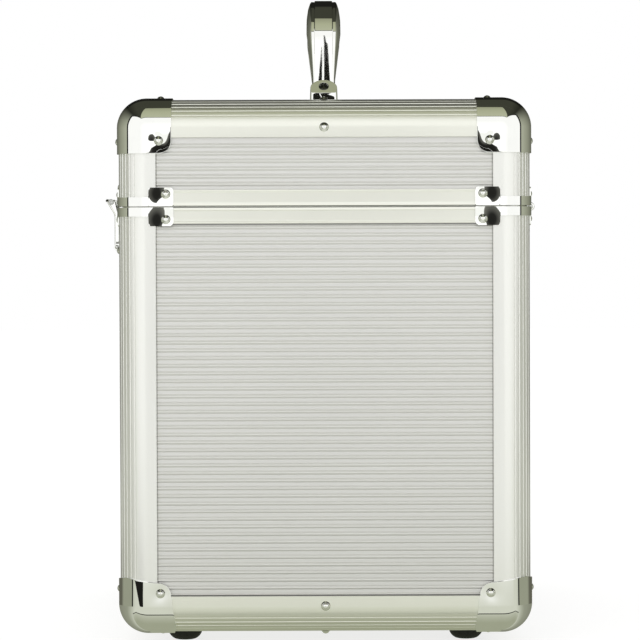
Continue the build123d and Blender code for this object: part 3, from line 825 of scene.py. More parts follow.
class Recipe:
    """A geometry node tree with named inputs, run on a carrier mesh."""

    def __init__(self, name: str) -> None:
        """Starts an empty tree with a geometry in and out.

        Args:
            name: the tree's name.
        """
        self.tree = bpy.data.node_groups.new(name, "GeometryNodeTree")
        self.graph = Graph(self.tree)
        self._socket("Geometry", "NodeSocketGeometry")
        self.tree.interface.new_socket("Geometry", in_out="OUTPUT",
                                       socket_type="NodeSocketGeometry")
        self.entry = self.tree.nodes.new("NodeGroupInput")

    def _socket(self, name: str, kind: str) -> bpy.types.NodeTreeInterfaceSocket:
        """Adds an input to the tree."""
        return self.tree.interface.new_socket(name, in_out="INPUT",
                                              socket_type=kind)

    def number(self, name: str, value: float | int) -> Sock:
        """Named number input: a whole number stays one.

        Args:
            name: its name.
            value: its default.

        Returns:
            The input's value in the tree.
        """
        kind = "NodeSocketInt" if isinstance(value, int) else "NodeSocketFloat"
        self._socket(name, kind).default_value = value
        return Sock(self.graph, self.entry.outputs[name])

    def geometry(self) -> Sock:
        """The carrier's geometry."""
        return Sock(self.graph, self.entry.outputs["Geometry"])

    def close(self, result: Sock) -> None:
        """Ends the tree: realized and with the named material.

        Args:
            result: the geometry that the tree gives.
        """
        self._socket("Material", "NodeSocketMaterial")
        node = self.graph.node
        real = node("GeometryNodeRealizeInstances", {}, {"Geometry": result})
        dressed = node("GeometryNodeSetMaterial", {}, {
            "Geometry": real,
            "Material": Sock(self.graph, self.entry.outputs["Material"])})
        exit_node = self.tree.nodes.new("NodeGroupOutput")
        self.tree.links.new(dressed.socket, exit_node.inputs[0])

    def run(self, carrier: Mesh, name: str, finish: Finish,
            place: Matrix | None = None, angle: float = 40.0,
            **values: object) -> Object:
        """Makes a plain mesh piece.

        Args:
            carrier: the mesh that the tree works on.
            name: the piece's name.
            finish: its finish.
            place: where the result is moved to, in millimetres.
            angle: edges sharper than this many degrees stay sharp.
            values: the tree's inputs, with _ for a space in a name.

        Returns:
            The piece, its modifier removed.
        """
        made = linked(name, carrier)
        modifier = made.modifiers.new("recipe", "NODES")
        modifier.node_group = self.tree
        wanted = {k.replace("_", " "): v for k, v in values.items()}
        wanted["Material"] = finish.material()
        for item in self.tree.interface.items_tree:
            if item.in_out == "INPUT" and item.name in wanted:
                modifier[item.identifier] = wanted[item.name]
        baked(made)
        if place is not None:
            shift = place.copy()
            shift.translation = shift.translation * MM
            made.data.transform(shift)
        return finished(made, finish, angle)


def ribbed_sheet() -> Recipe:
    """Tree of a sheet with beads along X: front face at Y 0, facing -Y.

    Returns:
        The recipe, its inputs in metres.
    """
    recipe = Recipe("ribbed_sheet")
    width, height = recipe.number("Width", 0.3), recipe.number("Height", 0.2)
    thick = recipe.number("Thickness", 0.005)
    rows = recipe.number("Rows", 400)
    first, pitch = recipe.number("First bead", 0.01), recipe.number("Pitch", 0.0054)
    beads = recipe.number("Beads", 10)
    bead_w = recipe.number("Bead width", 0.002)
    bead_h = recipe.number("Bead height", 0.0005)
    crease = recipe.number("Crease depth", 0.0002)
    crease_w = recipe.number("Crease width", 0.11)
    node = recipe.graph.node
    grid = node("GeometryNodeMeshGrid", {}, {"Size X": width, "Size Y": height,
                                             "Vertices X": 2, "Vertices Y": rows})
    lift = node("ShaderNodeCombineXYZ", {}, {1: thick, 2: height * 0.5})
    back = node("GeometryNodeTransform", {}, {
        "Geometry": grid, "Translation": lift,
        "Rotation": (math.pi / 2, 0.0, 0.0)})
    front = node("GeometryNodeExtrudeMesh", {"mode": "FACES"}, {
        "Mesh": back, "Offset": (0.0, -1.0, 0.0), "Offset Scale": thick,
        "Individual": False})
    behind = node("GeometryNodeFlipFaces", {}, {"Mesh": back})
    both = node("GeometryNodeJoinGeometry")
    recipe.tree.links.new(front.socket, both.socket.node.inputs[0])
    recipe.tree.links.new(behind.socket, both.socket.node.inputs[0])
    block = node("GeometryNodeMergeByDistance", {},
                 {"Geometry": both, "Distance": 0.00001})
    _, y, z = recipe.graph.parts(node("GeometryNodeInputPosition"))
    step = (z - first) / pitch
    nearest = step.of("ROUND")
    across = (step - nearest) * pitch / bead_w
    off = across.of("ABSOLUTE")
    front_only = (nearest > -0.5) * (nearest < beads - 0.5) * (y < thick * 0.5)
    crown = ((across * (2 * math.pi)).of("COSINE") + 1.0) * 0.5
    valley = 1.0 - ((off - 0.5 - crease_w * 0.9) / crease_w).of("ABSOLUTE")
    rise = (crown.of("POWER", 0.62) * (off < 0.5) * bead_h
            - valley.of("MAXIMUM", 0.0) * crease) * front_only
    moved = node("GeometryNodeSetPosition", {}, {
        "Geometry": block,
        "Offset": node("ShaderNodeCombineXYZ", {}, {1: rise * -1.0})})
    recipe.close(moved)
    return recipe


def domed_heads() -> Recipe:
    """Tree of rivet heads on points, each along its own facing.

    Returns:
        The recipe, its inputs in metres.
    """
    recipe = Recipe("domed_heads")
    radius, height = recipe.number("Radius", 0.0032), recipe.number("Height", 0.0019)
    collar = recipe.number("Collar", 0.0003)
    waist = 0.35
    node = recipe.graph.node
    ball = node("GeometryNodeMeshUVSphere", {}, {"Segments": 24, "Rings": 18,
                                                 "Radius": 1.0})
    x, y, z = recipe.graph.parts(node("GeometryNodeInputPosition"))
    skirt = 1.0 - (z / waist).of("MAXIMUM", 0.0).of("MINIMUM", 1.0)
    tall = (((z - waist) / (1.0 - waist)).of("MAXIMUM", 0.0) * height
            + (1.0 - skirt) * collar)
    wide = (skirt * (z > -0.02) * 0.2 + 1.0) * radius
    shape = node("ShaderNodeCombineXYZ", {}, {0: x * wide, 1: y * wide, 2: tall})
    dome = node("GeometryNodeSetPosition", {}, {"Geometry": ball,
                                                "Position": shape})
    way = node("GeometryNodeInputNamedAttribute", {"data_type": "FLOAT_VECTOR"},
               {"Name": "facing"})
    turn = node("FunctionNodeAlignRotationToVector", {"axis": "Z"}, {"Vector": way})
    set_out = node("GeometryNodeInstanceOnPoints", {}, {
        "Points": recipe.geometry(), "Instance": dome, "Rotation": turn})
    recipe.close(set_out)
    return recipe


def seats(name: str, places: Sequence[tuple[Triple, Triple]]) -> Mesh:
    """Mesh of loose points in metres, each with its facing.

    Args:
        name: its name.
        places: (point, facing) pairs, in millimetres.

    Returns:
        The mesh.
    """
    mesh = mesh_of(name, [spot for spot, _ in places], [])
    way = mesh.attributes.new("facing", "FLOAT_VECTOR", "POINT")
    way.data.foreach_set("vector", [c for _, normal in places for c in normal])
    return mesh


# --- dimensions ---

@dataclass(frozen=True)
class CaseSize:
    """Main sizes of the case, in millimetres."""

    width: float = 350.0
    depth: float = 288.0
    bottom: float = 11.0
    top: float = 384.0
    parting: float = 309.0
    edge_r: float = 20.0
    leg: float = 27.0
    wall: float = 1.4
    slot_in: float = 7.4
    inner: float = 8.6
    gap: float = 0.2
    web: float = 4.0
    sheet: float = 1.2

    @property
    def hx(self) -> float:
        """Half the width."""
        return self.width / 2

    @property
    def hy(self) -> float:
        """Half the depth."""
        return self.depth / 2

    def corner(self, sx: int, sy: int, z: float = 0.0) -> Matrix:
        """Frame at an upright edge whose X and Y run inwards."""
        spot = Matrix.Translation((sx * self.hx, sy * self.hy, z))
        return spot @ Matrix.Diagonal((-sx, -sy, 1, 1))


SIZE = CaseSize()


class Half(Enum):
    """The two halves of the case: body name and direction from the parting."""

    BASE = ("base", -1)
    LID = ("lid", 1)

    @property
    def body(self) -> str:
        """The body's name."""
        return self.value[0]

    @property
    def way(self) -> int:
        """-1 below the parting plane, 1 above it."""
        return self.value[1]


# --- extrusions ---

@dataclass
class Extrusions:
    """Edge extrusions of one half: four posts, four rails and the rim."""

    half: Half
    size: CaseSize = SIZE
    grooves: int = 5
    pitch: float = 10.4
    depth: float = 0.42
    end_gap: float = 0.2
    rim_height: float = 11.8
    recess: float = 2.2
    slit: float = 0.42
    tongue_at: float = 4.25
    skin: float = 0.4

    def section(self) -> list[Pair]:
        """Outline of the extrusion, its outside corner at 0, 0.

        A groove is drawn by degrees from its middle and shares of its depth.

        Returns:
            The closed outline.
        """
        s, radius = self.size, self.size.edge_r

        def on_arc(degrees: float, sunk: float) -> Pair:
            """Point on the rounded edge, sunk below its surface.

            Args:
                degrees: angle round the edge.
                sunk: depth below the surface.

            Returns:
                The point.
            """
            a = math.radians(degrees)
            r = radius - sunk
            return (radius - r * math.sin(a), radius - r * math.cos(a))

        cut = [(-1.8, 0.0), (-1.4, 0.05), (-1.05, 0.2), (-0.4, 0.93),
               (0.0, 1.0), (0.4, 0.93), (1.05, 0.2), (1.4, 0.05), (1.8, 0.0)]
        arc_points = [on_arc(a, 0.0) for a in range(0, 22, 3)]
        for i in range(self.grooves):
            middle = 45 + (i - (self.grooves - 1) / 2) * self.pitch
            arc_points += [on_arc(middle + a, self.depth * d) for a, d in cut]
            if i < self.grooves - 1:
                arc_points += [on_arc(middle + a, 0.0) for a in (3.7, 5.2, 6.7)]
        arc_points += [on_arc(a, 0.0) for a in range(69, 91, 3)]
        lip = [(0, s.leg - 0.5), (0.06, s.leg - 0.2), (0.22, s.leg - 0.04),
               (0.45, s.leg), (0.95, s.leg), (1.18, s.leg - 0.04),
               (1.34, s.leg - 0.2), (s.wall, s.leg - 0.5)]
        leg = lip + [(s.wall, radius), (s.slot_in, radius),
                     (s.slot_in, s.leg), (s.inner, s.leg)]
        mirrored = [(b, a) for a, b in reversed(leg)]
        return arc_points + leg + [(s.inner, s.inner)] + mirrored

    def posts(self) -> Shell:
        """The four upright posts.

        Returns:
            The shell.
        """
        s = self.size
        rim = s.parting + self.half.way * (s.gap + s.web)
        end = (s.bottom + s.edge_r + self.end_gap if self.half is Half.BASE
               else s.top - s.edge_r - self.end_gap)
        shell = Shell()
        for sx, sy in CORNERS:
            shell.merge(Shell().prism(self.section(), Matrix.Identity(4),
                                      min(rim, end), max(rim, end)),
                        s.corner(sx, sy))
        return shell

    def rails(self, along_x: bool) -> Shell:
        """The two rails along X, or the two along Y.

        Args:
            along_x: makes the pair along X.

        Returns:
            The shell.
        """
        s = self.size
        run = (s.hx if along_x else s.hy) - s.leg - self.end_gap
        other = s.hy if along_x else s.hx
        edge = s.bottom if self.half is Half.BASE else s.top
        up = 1 if self.half is Half.BASE else -1
        shell = Shell()
        for side in (-1, 1):
            outward = (0, side, 0) if along_x else (side, 0, 0)
            origin = tuple(c * other for c in outward)
            inwards = tuple(-c for c in outward)
            place = frame_at((origin[0], origin[1], edge), inwards, (0, 0, up))
            shell.prism(self.section(), place, -run, run)
        return shell

    def rim(self) -> Shell:
        """The web round the opening and its straight strips.

        Returns:
            The shell.
        """
        s, way = self.size, self.half.way
        base = self.half is Half.BASE
        face, at, high = s.gap, self.tongue_at, self.rim_height
        lip = face + self.slit
        wide, reach = (1.2, 2.5) if base else (0.7, -2.0)
        web = [(self.recess, face), (at - wide - 0.15, face),
               (at - wide, face + reach), (at + wide, face + reach),
               (at + wide + 0.15, face), (s.inner, face), (s.inner, face + s.web),
               (self.skin, face + s.web), (self.skin, lip), (self.recess, lip)]
        shell = Shell().rings(
            [[(*(Vector(outer).lerp(Vector(inner), t / s.inner)),
               s.parting + way * z) for t, z in web]
             for outer, inner in self.stations()], capped=False, looped=True)
        bead = ([(0.42, 0.42), (0.3, 0.5), (0.24, 0.65), (0.02, 1.9), (0.0, 2.1),
                 (0.1, 2.4), (0.34, 2.6), (0.38, 3.2)] if base else
                [(0.38, 0.42), (0.1, 0.48), (0.0, 0.65), (0.03, 0.8), (0.26, 2.1),
                 (0.34, 2.4), (0.38, 3.0)])
        far = [(0.38, -2.3), (0.3, -1.75), (0.08, -1.4), (0.0, -1.0), (0.0, -0.6),
               (0.14, -0.2), (0.4, 0), (1.0, 0), (1.28, -0.12), (s.wall, -0.4)]
        outside = ([(t, face + z) for t, z in bead]
                   + [(t, high + z) for t, z in far] + [(s.wall, lip)])
        inside = [(s.slot_in, face + 1), (s.slot_in, high - 0.2),
                  (s.slot_in + 0.2, high), (s.inner - 0.2, high),
                  (s.inner, high - 0.2), (s.inner, face + 1)]
        for normal, run in ((FRONT, s.hx), (BACK, s.hx), (LEFT, s.hy), (RIGHT, s.hy)):
            across = s.hy if normal in (FRONT, BACK) else s.hx
            origin = (*(c * across for c in normal[:2]), s.parting)
            inwards = tuple(-c for c in normal)
            place = frame_at(origin, inwards, (0, 0, way))
            for outline in (outside, inside):
                shell.prism(outline, place, -(run - s.leg), run - s.leg)
        return shell

    def stations(self) -> list[tuple[Pair, Pair]]:
        """Outer and inner points of the web, once round the case.

        Returns:
            (outer, inner) pairs, counted round from +X.
        """
        s, made = self.size, []
        turns = (((1, 1), 0), ((-1, 1), 90), ((-1, -1), 180), ((1, -1), 270))
        for (sx, sy), start in turns:
            centre = (sx * (s.hx - s.edge_r), sy * (s.hy - s.edge_r))
            corner = (sx * (s.hx - s.inner), sy * (s.hy - s.inner))
            made += [(p, corner) for p in arc(centre, s.edge_r, start, start + 90, 9)]
        return made

    def build(self) -> None:
        """Makes the posts, rails and rim ride in place of the CAD's."""
        body = self.half.body
        level = "bottom" if self.half is Half.BASE else "top"
        posts = [f"{body}_post_{a}_{b}" for a in ("front", "back")
                 for b in ("left", "right")]
        self.posts().fitted(f"{body}_posts", body, LIT_POST, *posts, angle=28.0)
        self.rails(True).fitted(f"{body}_long_rails", body, RAIL_X,
                                f"{level}_rail_front", f"{level}_rail_back",
                                angle=28.0)
        self.rails(False).fitted(f"{body}_short_rails", body, RAIL_Y,
                                 f"{level}_rail_left", f"{level}_rail_right",
                                 angle=28.0)
        self.rim().fitted(f"{body}_rim", body, RIM_METAL, f"{body}_rim_frame",
                          angle=30.0)


# --- panels ---

@dataclass
class RibbedPanels:
    """The ribbed laminate sheets of one half."""

    half: Half
    size: CaseSize = SIZE
    face: float = 2.0
    pitch: float = 5.34
    bead_width: float = 2.2
    bead_height: float = 0.5
    crease: float = 0.27
    crease_width: float = 0.11
    hidden: float = 20.5
    row: float = 0.16
    plain_edge: float = 6.0
    lowest: Pair = (27.2, 59.4)
    counts: tuple[int, int] = (49, 6)

    def spans(self) -> tuple[float, float, float, int]:
        """Low edge, high edge, lowest bead and count of the upright sheets.

        Returns:
            The four numbers, in this order.
        """
        s, clear = self.size, self.size.gap + self.size.web + 0.5
        if self.half is Half.BASE:
            return (s.bottom + self.hidden, s.parting - clear,
                    s.bottom + self.lowest[0], self.counts[0])
        return (s.parting + clear, s.top - self.hidden, s.top - self.lowest[1],
                self.counts[1])

    def sheet(self, recipe: Recipe, name: str, place: Matrix, width: float,
              height: float, first: float, beads: int) -> Object:
        """One sheet, its front face on the frame's XZ plane.

        Args:
            recipe: the ribbed sheet's tree.
            name: the piece's name.
            place: the sheet's frame.
            width: its width.
            height: its height.
            first: height of its lowest bead.
            beads: how many beads it has.

        Returns:
            The piece.
        """
        return recipe.run(bpy.data.meshes.new(f"{name}_carrier"), name, SHEET,
                          place, angle=50.0, Width=width * MM, Height=height * MM,
                          Thickness=(self.size.slot_in - self.face) * MM,
                          Rows=int(height / self.row), First_bead=first * MM,
                          Pitch=self.pitch * MM, Beads=beads,
                          Bead_width=self.bead_width * MM,
                          Bead_height=self.bead_height * MM,
                          Crease_depth=self.crease * MM,
                          Crease_width=self.crease_width)

    def build(self) -> None:
        """Makes the four upright sheets and the flat one."""
        s, recipe = self.size, ribbed_sheet()
        low, high, first, beads = self.spans()
        prefix = "" if self.half is Half.BASE else "lid_"
        sides = (("front", 0, s.hy, s.hx), ("right", 90, s.hx, s.hy),
                 ("back", 180, s.hy, s.hx), ("left", 270, s.hx, s.hy))
        for name, degrees, out, half in sides:
            turn = Matrix.Rotation(math.radians(degrees), 4, "Z")
            place = turn @ Matrix.Translation((0, -out + self.face, low))
            piece = self.sheet(recipe, f"{prefix}{name}_sheet", place,
                               2 * (half - self.hidden), high - low, first - low,
                               beads)
            fit(piece, self.half.body, SHEET, f"{prefix}{name}_panel")
        width, length = 2 * (s.hx - self.hidden), 2 * (s.hy - self.hidden)
        base = self.half is Half.BASE
        turn = Matrix.Rotation(math.radians(90 if base else -90), 4, "X")
        level = s.bottom + self.face if base else s.top - self.face
        place = (Matrix.Translation((0, (1 if base else -1) * length / 2, level))
                 @ turn)
        beads = int((length - 2 * self.plain_edge) / self.pitch)
        first = (length - (beads - 1) * self.pitch) / 2
        name = "floor_sheet" if base else "lid_top_sheet"
        node = "floor_panel" if base else "lid_top_panel"
        piece = self.sheet(recipe, name, place, width, length, first, beads)
        fit(piece, self.half.body, SHEET, node)


# --- edge hardware ---

@dataclass
class CornerCaps:
    """Pressed three-way caps over the corners of one half."""

    half: Half
    size: CaseSize = SIZE
    reach: float = 38.0
    slant: float = 0.0
    tongue_r: float = 9.0
    rivet_in: float = 29.1
    dish: float = 0.3
    dish_spread: Pair = (5.0, 4.0)
    curl: float = 0.007
    steps: int = 44

    def spread(self, q: float) -> float:
        """Distance from the corner's plane at this length along the sheet.

        Args:
            q: length, 0 where the rounding ends.

        Returns:
            The distance.
        """
        radius = self.size.edge_r + self.size.sheet
        if q >= 0:
            return self.size.edge_r + q
        return self.size.edge_r - radius * math.tan(-q / radius)

    def patch(self) -> tuple[list[Vector], list[list[int]]]:
        """One third of the cap: the face on the plane of 0 third coordinate.

        Returns:
            Its corners and faces.
        """
        s, n = self.size, self.steps
        radius = s.edge_r + s.sheet
        fold = -math.pi / 4 * radius
        far, middle = self.reach - s.edge_r, self.reach - self.tongue_r
        bend = middle - s.edge_r
        diagonal = bend + self.tongue_r * math.sqrt(0.5)

        def edge(t: float) -> Pair:
            """Free edge from the fold to the tongue's corner, unrolled.

            Args:
                t: 0 at the fold, 1 at the tongue's corner.

            Returns:
                The point.
            """
            arc_len = self.tongue_r * math.pi / 4
            flat = bend - fold
            run = t * (flat + arc_len)
            if run < flat:
                q = fold + run
                return (far + self.slant * (bend - q) / flat, q)
            a = (run - flat) / self.tongue_r
            return (bend + self.tongue_r * math.cos(a),
                    bend + self.tongue_r * math.sin(a))

        verts = []
        for i in range(n + 1):
            for j in range(n + 1):
                u, v = i / n, j / n
                right, top = edge(v), edge(u)[::-1]
                span = edge(0)[0] - fold
                low = (fold + span * u, fold)
                left = (fold, fold + span * v)
                mixed = [(1 - u) * left[k] + u * right[k] + (1 - v) * low[k]
                         + v * top[k] - ((1 - u) * (1 - v) * fold
                                         + u * (1 - v) * edge(0)[k]
                                         + (1 - u) * v * edge(0)[1 - k]
                                         + u * v * diagonal) for k in (0, 1)]
                x, y = (self.spread(q) for q in mixed)
                core = Vector((max(x, s.edge_r), max(y, s.edge_r), s.edge_r))
                out = (Vector((x, y, -s.sheet)) - core).normalized()
                along = (x + y - 2 * self.rivet_in) * math.sqrt(0.5)
                away = ((along / self.dish_spread[0]) ** 2
                        + ((x - y) * math.sqrt(0.5) / self.dish_spread[1]) ** 2)
                sunk = (self.dish * math.exp(-0.5 * away)
                        + self.curl * max(0.0, along + 1.0) ** 2)
                verts.append(core + out * (radius - sunk * max(0.0, -out.z) ** 8))
        return verts, grid_faces(n, n)

    def build(self) -> None:
        """Makes the half's four caps."""
        s = self.size
        verts, faces = self.patch()
        one = Shell()
        for turn in range(3):
            one.add([(v[(0 - turn) % 3], v[(1 - turn) % 3], v[(2 - turn) % 3])
                     for v in verts], faces)
        level = s.bottom if self.half is Half.BASE else s.top
        pressed(one, self.half, level, -self.half.way, "caps", "corner_caps", 0.55)


def sheet_metal(surface: Shell, name: str, thick: float,
                rounding: float) -> Object:
    """Gives an open outer surface its thickness inwards and eased edges.

    Args:
        surface: one or more open surfaces round the case's middle.
        name: the piece's name.
        thick: thickness in millimetres.
        rounding: width of the rounding of the cut edges.

    Returns:
        The object, without a finish yet.
    """
    mesh = mesh_of(name, surface.verts, surface.faces)
    work = bmesh.new()
    work.from_mesh(mesh)
    bmesh.ops.remove_doubles(work, verts=work.verts, dist=DOUBLES)
    middle = Vector((0, 0, (SIZE.bottom + SIZE.top) / 2 * MM))
    for f in work.faces:
        f.normal_update()
    islands, left = [], set(work.faces)
    while left:
        start = left.pop()
        island, queue = [start], [start]
        while queue:
            for e in queue.pop().edges:
                for f in e.link_faces:
                    if f in left:
                        left.discard(f)
                        island.append(f)
                        queue.append(f)
        islands.append(island)
    for island in islands:
        bmesh.ops.recalc_face_normals(work, faces=island)
        lean = sum(f.normal.dot(f.calc_center_median() - middle) * f.calc_area()
                   for f in island)
        if lean < 0:
            bmesh.ops.reverse_faces(work, faces=island)
    work.to_mesh(mesh)
    work.free()
    made = linked(name, mesh)
    wall = made.modifiers.new("thickness", "SOLIDIFY")
    wall.thickness, wall.offset = thick * MM, -1.0
    wall.use_even_offset = False
    ease(made, rounding, 3, 50.0)
    return baked(made)


def pressed(one: Shell, half: Half, level: float, up: int, name: str,
            node: str, rounding: float) -> None:
    """Makes four chrome pressings of a half from the surface of one.

    Args:
        one: outer surface, drawn for an upright edge whose X and Y run inwards.
        half: the half that carries them.
        level: height of the surface's own zero.
        up: 1 where its Z runs up, -1 where it runs down.
        name: the piece's name after the body's.
        node: the CAD node's name after the body's.
        rounding: width of the rounding of the cut edges.
    """
    four = Shell()
    for sx, sy in CORNERS:
        four.merge(one, SIZE.corner(sx, sy, level) @ Matrix.Diagonal((1, 1, up, 1)))
    made = sheet_metal(four, f"{half.body}_{name}", SIZE.sheet, rounding)
    fit(finished(made, CHROME, 40.0), half.body, CHROME, f"{half.body}_{node}")


@dataclass
class EdgeBrackets:
    """Brackets that wrap the upright edges beside the parting plane."""

    half: Half
    size: CaseSize = SIZE
    arm: float = 39.4
    band: float = 6.3
    wing: float = 13.0
    start: float = 21.4
    corner: float = 2.5
    step: float = 2.4
    drawn: float = 0.8
    rivet: Pair = (34.0, 8.8)
    dish: float = 0.5
    dish_width: float = 6.4
    clear: float = 0.4
    rows: int = 14

    def heights(self) -> list[Triple]:
        """Columns of (distance from the corner's end, low, high).

        Returns:
            The columns, outwards from the bend.
        """
        b, w, end, r = self.band, self.wing, self.arm, self.corner
        rise = [(0.0, b), (0.35, b + 0.35), (0.55, b + 1.2), (0.65, w - 1.4),
                (0.95, w - 0.5), (1.6, w - 0.1), (self.step, w)]
        top = self.start + self.step
        made = [(self.start + x, 0.0, z) for x, z in rise]
        made += [(top + (end - r - top) * i / self.rows, 0.0, w)
                 for i in range(1, self.rows + 1)]
        for x, z in arc((end - r, w - r), r, 80, 0, 8):
            past = max(0.0, x - end + self.drawn)
            made.append((x, 0.6 * past ** 2, z))
        return made

    def columns(self) -> list[tuple[Vector, Vector, float, float]]:
        """Foot, outward direction, low and high of each column.

        Returns:
            The columns, once round the edge.
        """
        s = self.size
        r = s.edge_r + s.sheet
        first = [(Vector((x, -s.sheet)), Vector((0, -1)), low, high)
                 for x, low, high in reversed(self.heights())]
        for i in range(1, 24):
            a = math.radians(90 * i / 24)
            way = Vector((-math.sin(a), -math.cos(a)))
            first.append((Vector((s.edge_r, s.edge_r)) + way * r, way, 0.0,
                          self.band))
        return first + [(Vector((-s.sheet, x)), Vector((-1, 0)), low, high)
                        for x, low, high in self.heights()]

    def build(self) -> None:
        """Makes the half's four brackets."""
        s, rows, way = self.size, self.rows, self.half.way
        columns = self.columns()
        verts = []
        for foot, out, low, high in columns:
            for k in range(rows + 1):
                z = low + (high - low) * k / rows
                along = max(foot.x, foot.y)
                away = math.dist((along, z), self.rivet)
                sunk = self.dish * math.exp(-0.5 * (away / self.dish_width) ** 2)
                if max(abs(out.x), abs(out.y)) < 0.999:
                    sunk = 0.0
                spot = foot - out * sunk
                verts.append((spot.x, spot.y, way * (z + self.clear)))
        one = Shell().add(verts, grid_faces(len(columns) - 1, rows))
        pressed(one, self.half, s.parting, 1, "brackets", "edge_brackets", 0.5)


@dataclass
class Rivets:
    """Domed rivets of one half, each set out on a point."""

    half: Half
    size: CaseSize = SIZE
    radius: float = 2.75
    height: float = 1.6
    collar: float = 0.6
    mid_rail: float = 20.0

    def places(self) -> list[tuple[Triple, Triple]]:
        """Seat and facing of every rivet.

        Returns:
            (point, facing) pairs.
        """
        s, way = self.size, self.half.way
        base = self.half is Half.BASE
        edge, inward = (s.bottom, 1) if base else (s.top, -1)
        cap, out = CornerCaps.rivet_in, s.sheet - CornerCaps.dish
        made: list[tuple[Triple, Triple]] = []
        for sx, sy in CORNERS:
            x, y, z = sx * (s.hx - cap), sy * (s.hy - cap), edge + inward * cap
            made += [((x, sy * (s.hy + out), z), (0, sy, 0)),
                     ((sx * (s.hx + out), y, z), (sx, 0, 0)),
                     ((x, y, edge - inward * out), (0, 0, -inward))]
            along, off = EdgeBrackets.rivet
            off, sunk = s.parting + way * off, s.sheet - EdgeBrackets.dish
            made += [((sx * (s.hx - along), sy * (s.hy + sunk), off), (0, sy, 0)),
                     ((sx * (s.hx + sunk), sy * (s.hy - along), off), (sx, 0, 0))]
        rail, latch, hinge = self.mid_rail, Latch, Hinges
        on_wall = edge + inward * rail
        along, drops = latch.plate_rivets if base else latch.keeper_rivets
        for side in (-1, 1):
            made += [((0, side * s.hy, on_wall), (0, side, 0)),
                     ((side * s.hx, 0, on_wall), (side, 0, 0)),
                     ((0, side * (s.hy - rail), edge), (0, 0, -inward)),
                     ((side * (s.hx - rail), 0, edge), (0, 0, -inward))]
            made += [((side * latch.centre + dx, -s.hy - latch.sheet, s.parting + z),
                      FRONT) for dx in (-along, along) for z in drops]
            made += [((side * hinge.place + dx, s.hy + hinge.sheet,
                       s.parting + way * hinge.rivet_rise), BACK)
                     for dx in (-hinge.rivet_run, 0.0, hinge.rivet_run)]
        return made

    def build(self) -> None:
        """Makes the half's rivets with the rivet tree."""
        name = f"{self.half.body}_rivet_heads"
        made = domed_heads().run(seats(f"{name}_seats", self.places()), name,
                                 CHROME, angle=60.0, Radius=self.radius * MM,
                                 Height=self.height * MM, Collar=self.collar * MM)
        fit(made, self.half.body, CHROME, f"{self.half.body}_rivets")


# --- feet and foam ---

@dataclass
class Feet:
    """Rubber feet with a recessed fixing screw."""

    size: CaseSize = SIZE
    place: Pair = (117.0, 100.6)
    radius: float = 12.1

    def build(self) -> None:
        """Makes the four feet and their screws."""
        r, high = self.radius, self.size.bottom + 1.5
        profile = [(0, high), (r - 0.3, high), (r, high - 0.3), (r, 7.2),
                   (r - 0.12, 5.6), (r - 0.6, 4.0), (r - 1.6, 2.4), (r - 3.0, 1.1),
                   (r - 4.2, 0.35), (6.9, 0.05), (6.5, 0.0), (4.6, 0.0),
                   (4.3, 0.12), (4.1, 0.45), (4.0, 3.2), (0, 3.2)]
        head = [(0, 2.9), (2.0, 2.7), (3.0, 2.2), (3.4, 1.6), (3.4, 3.3), (0, 3.3)]
        feet, screws = Shell(), Shell()
        for sx, sy in CORNERS:
            spot = Matrix.Translation((sx * self.place[0], sy * self.place[1], 0))
            feet.lathe(profile, spot, 48)
            screws.lathe(head, spot, 24)
        feet.fitted("feet", "base", RUBBER, "rubber_feet", angle=40.0)
        screws.fitted("foot_screws", "base", STEEL, angle=40.0)


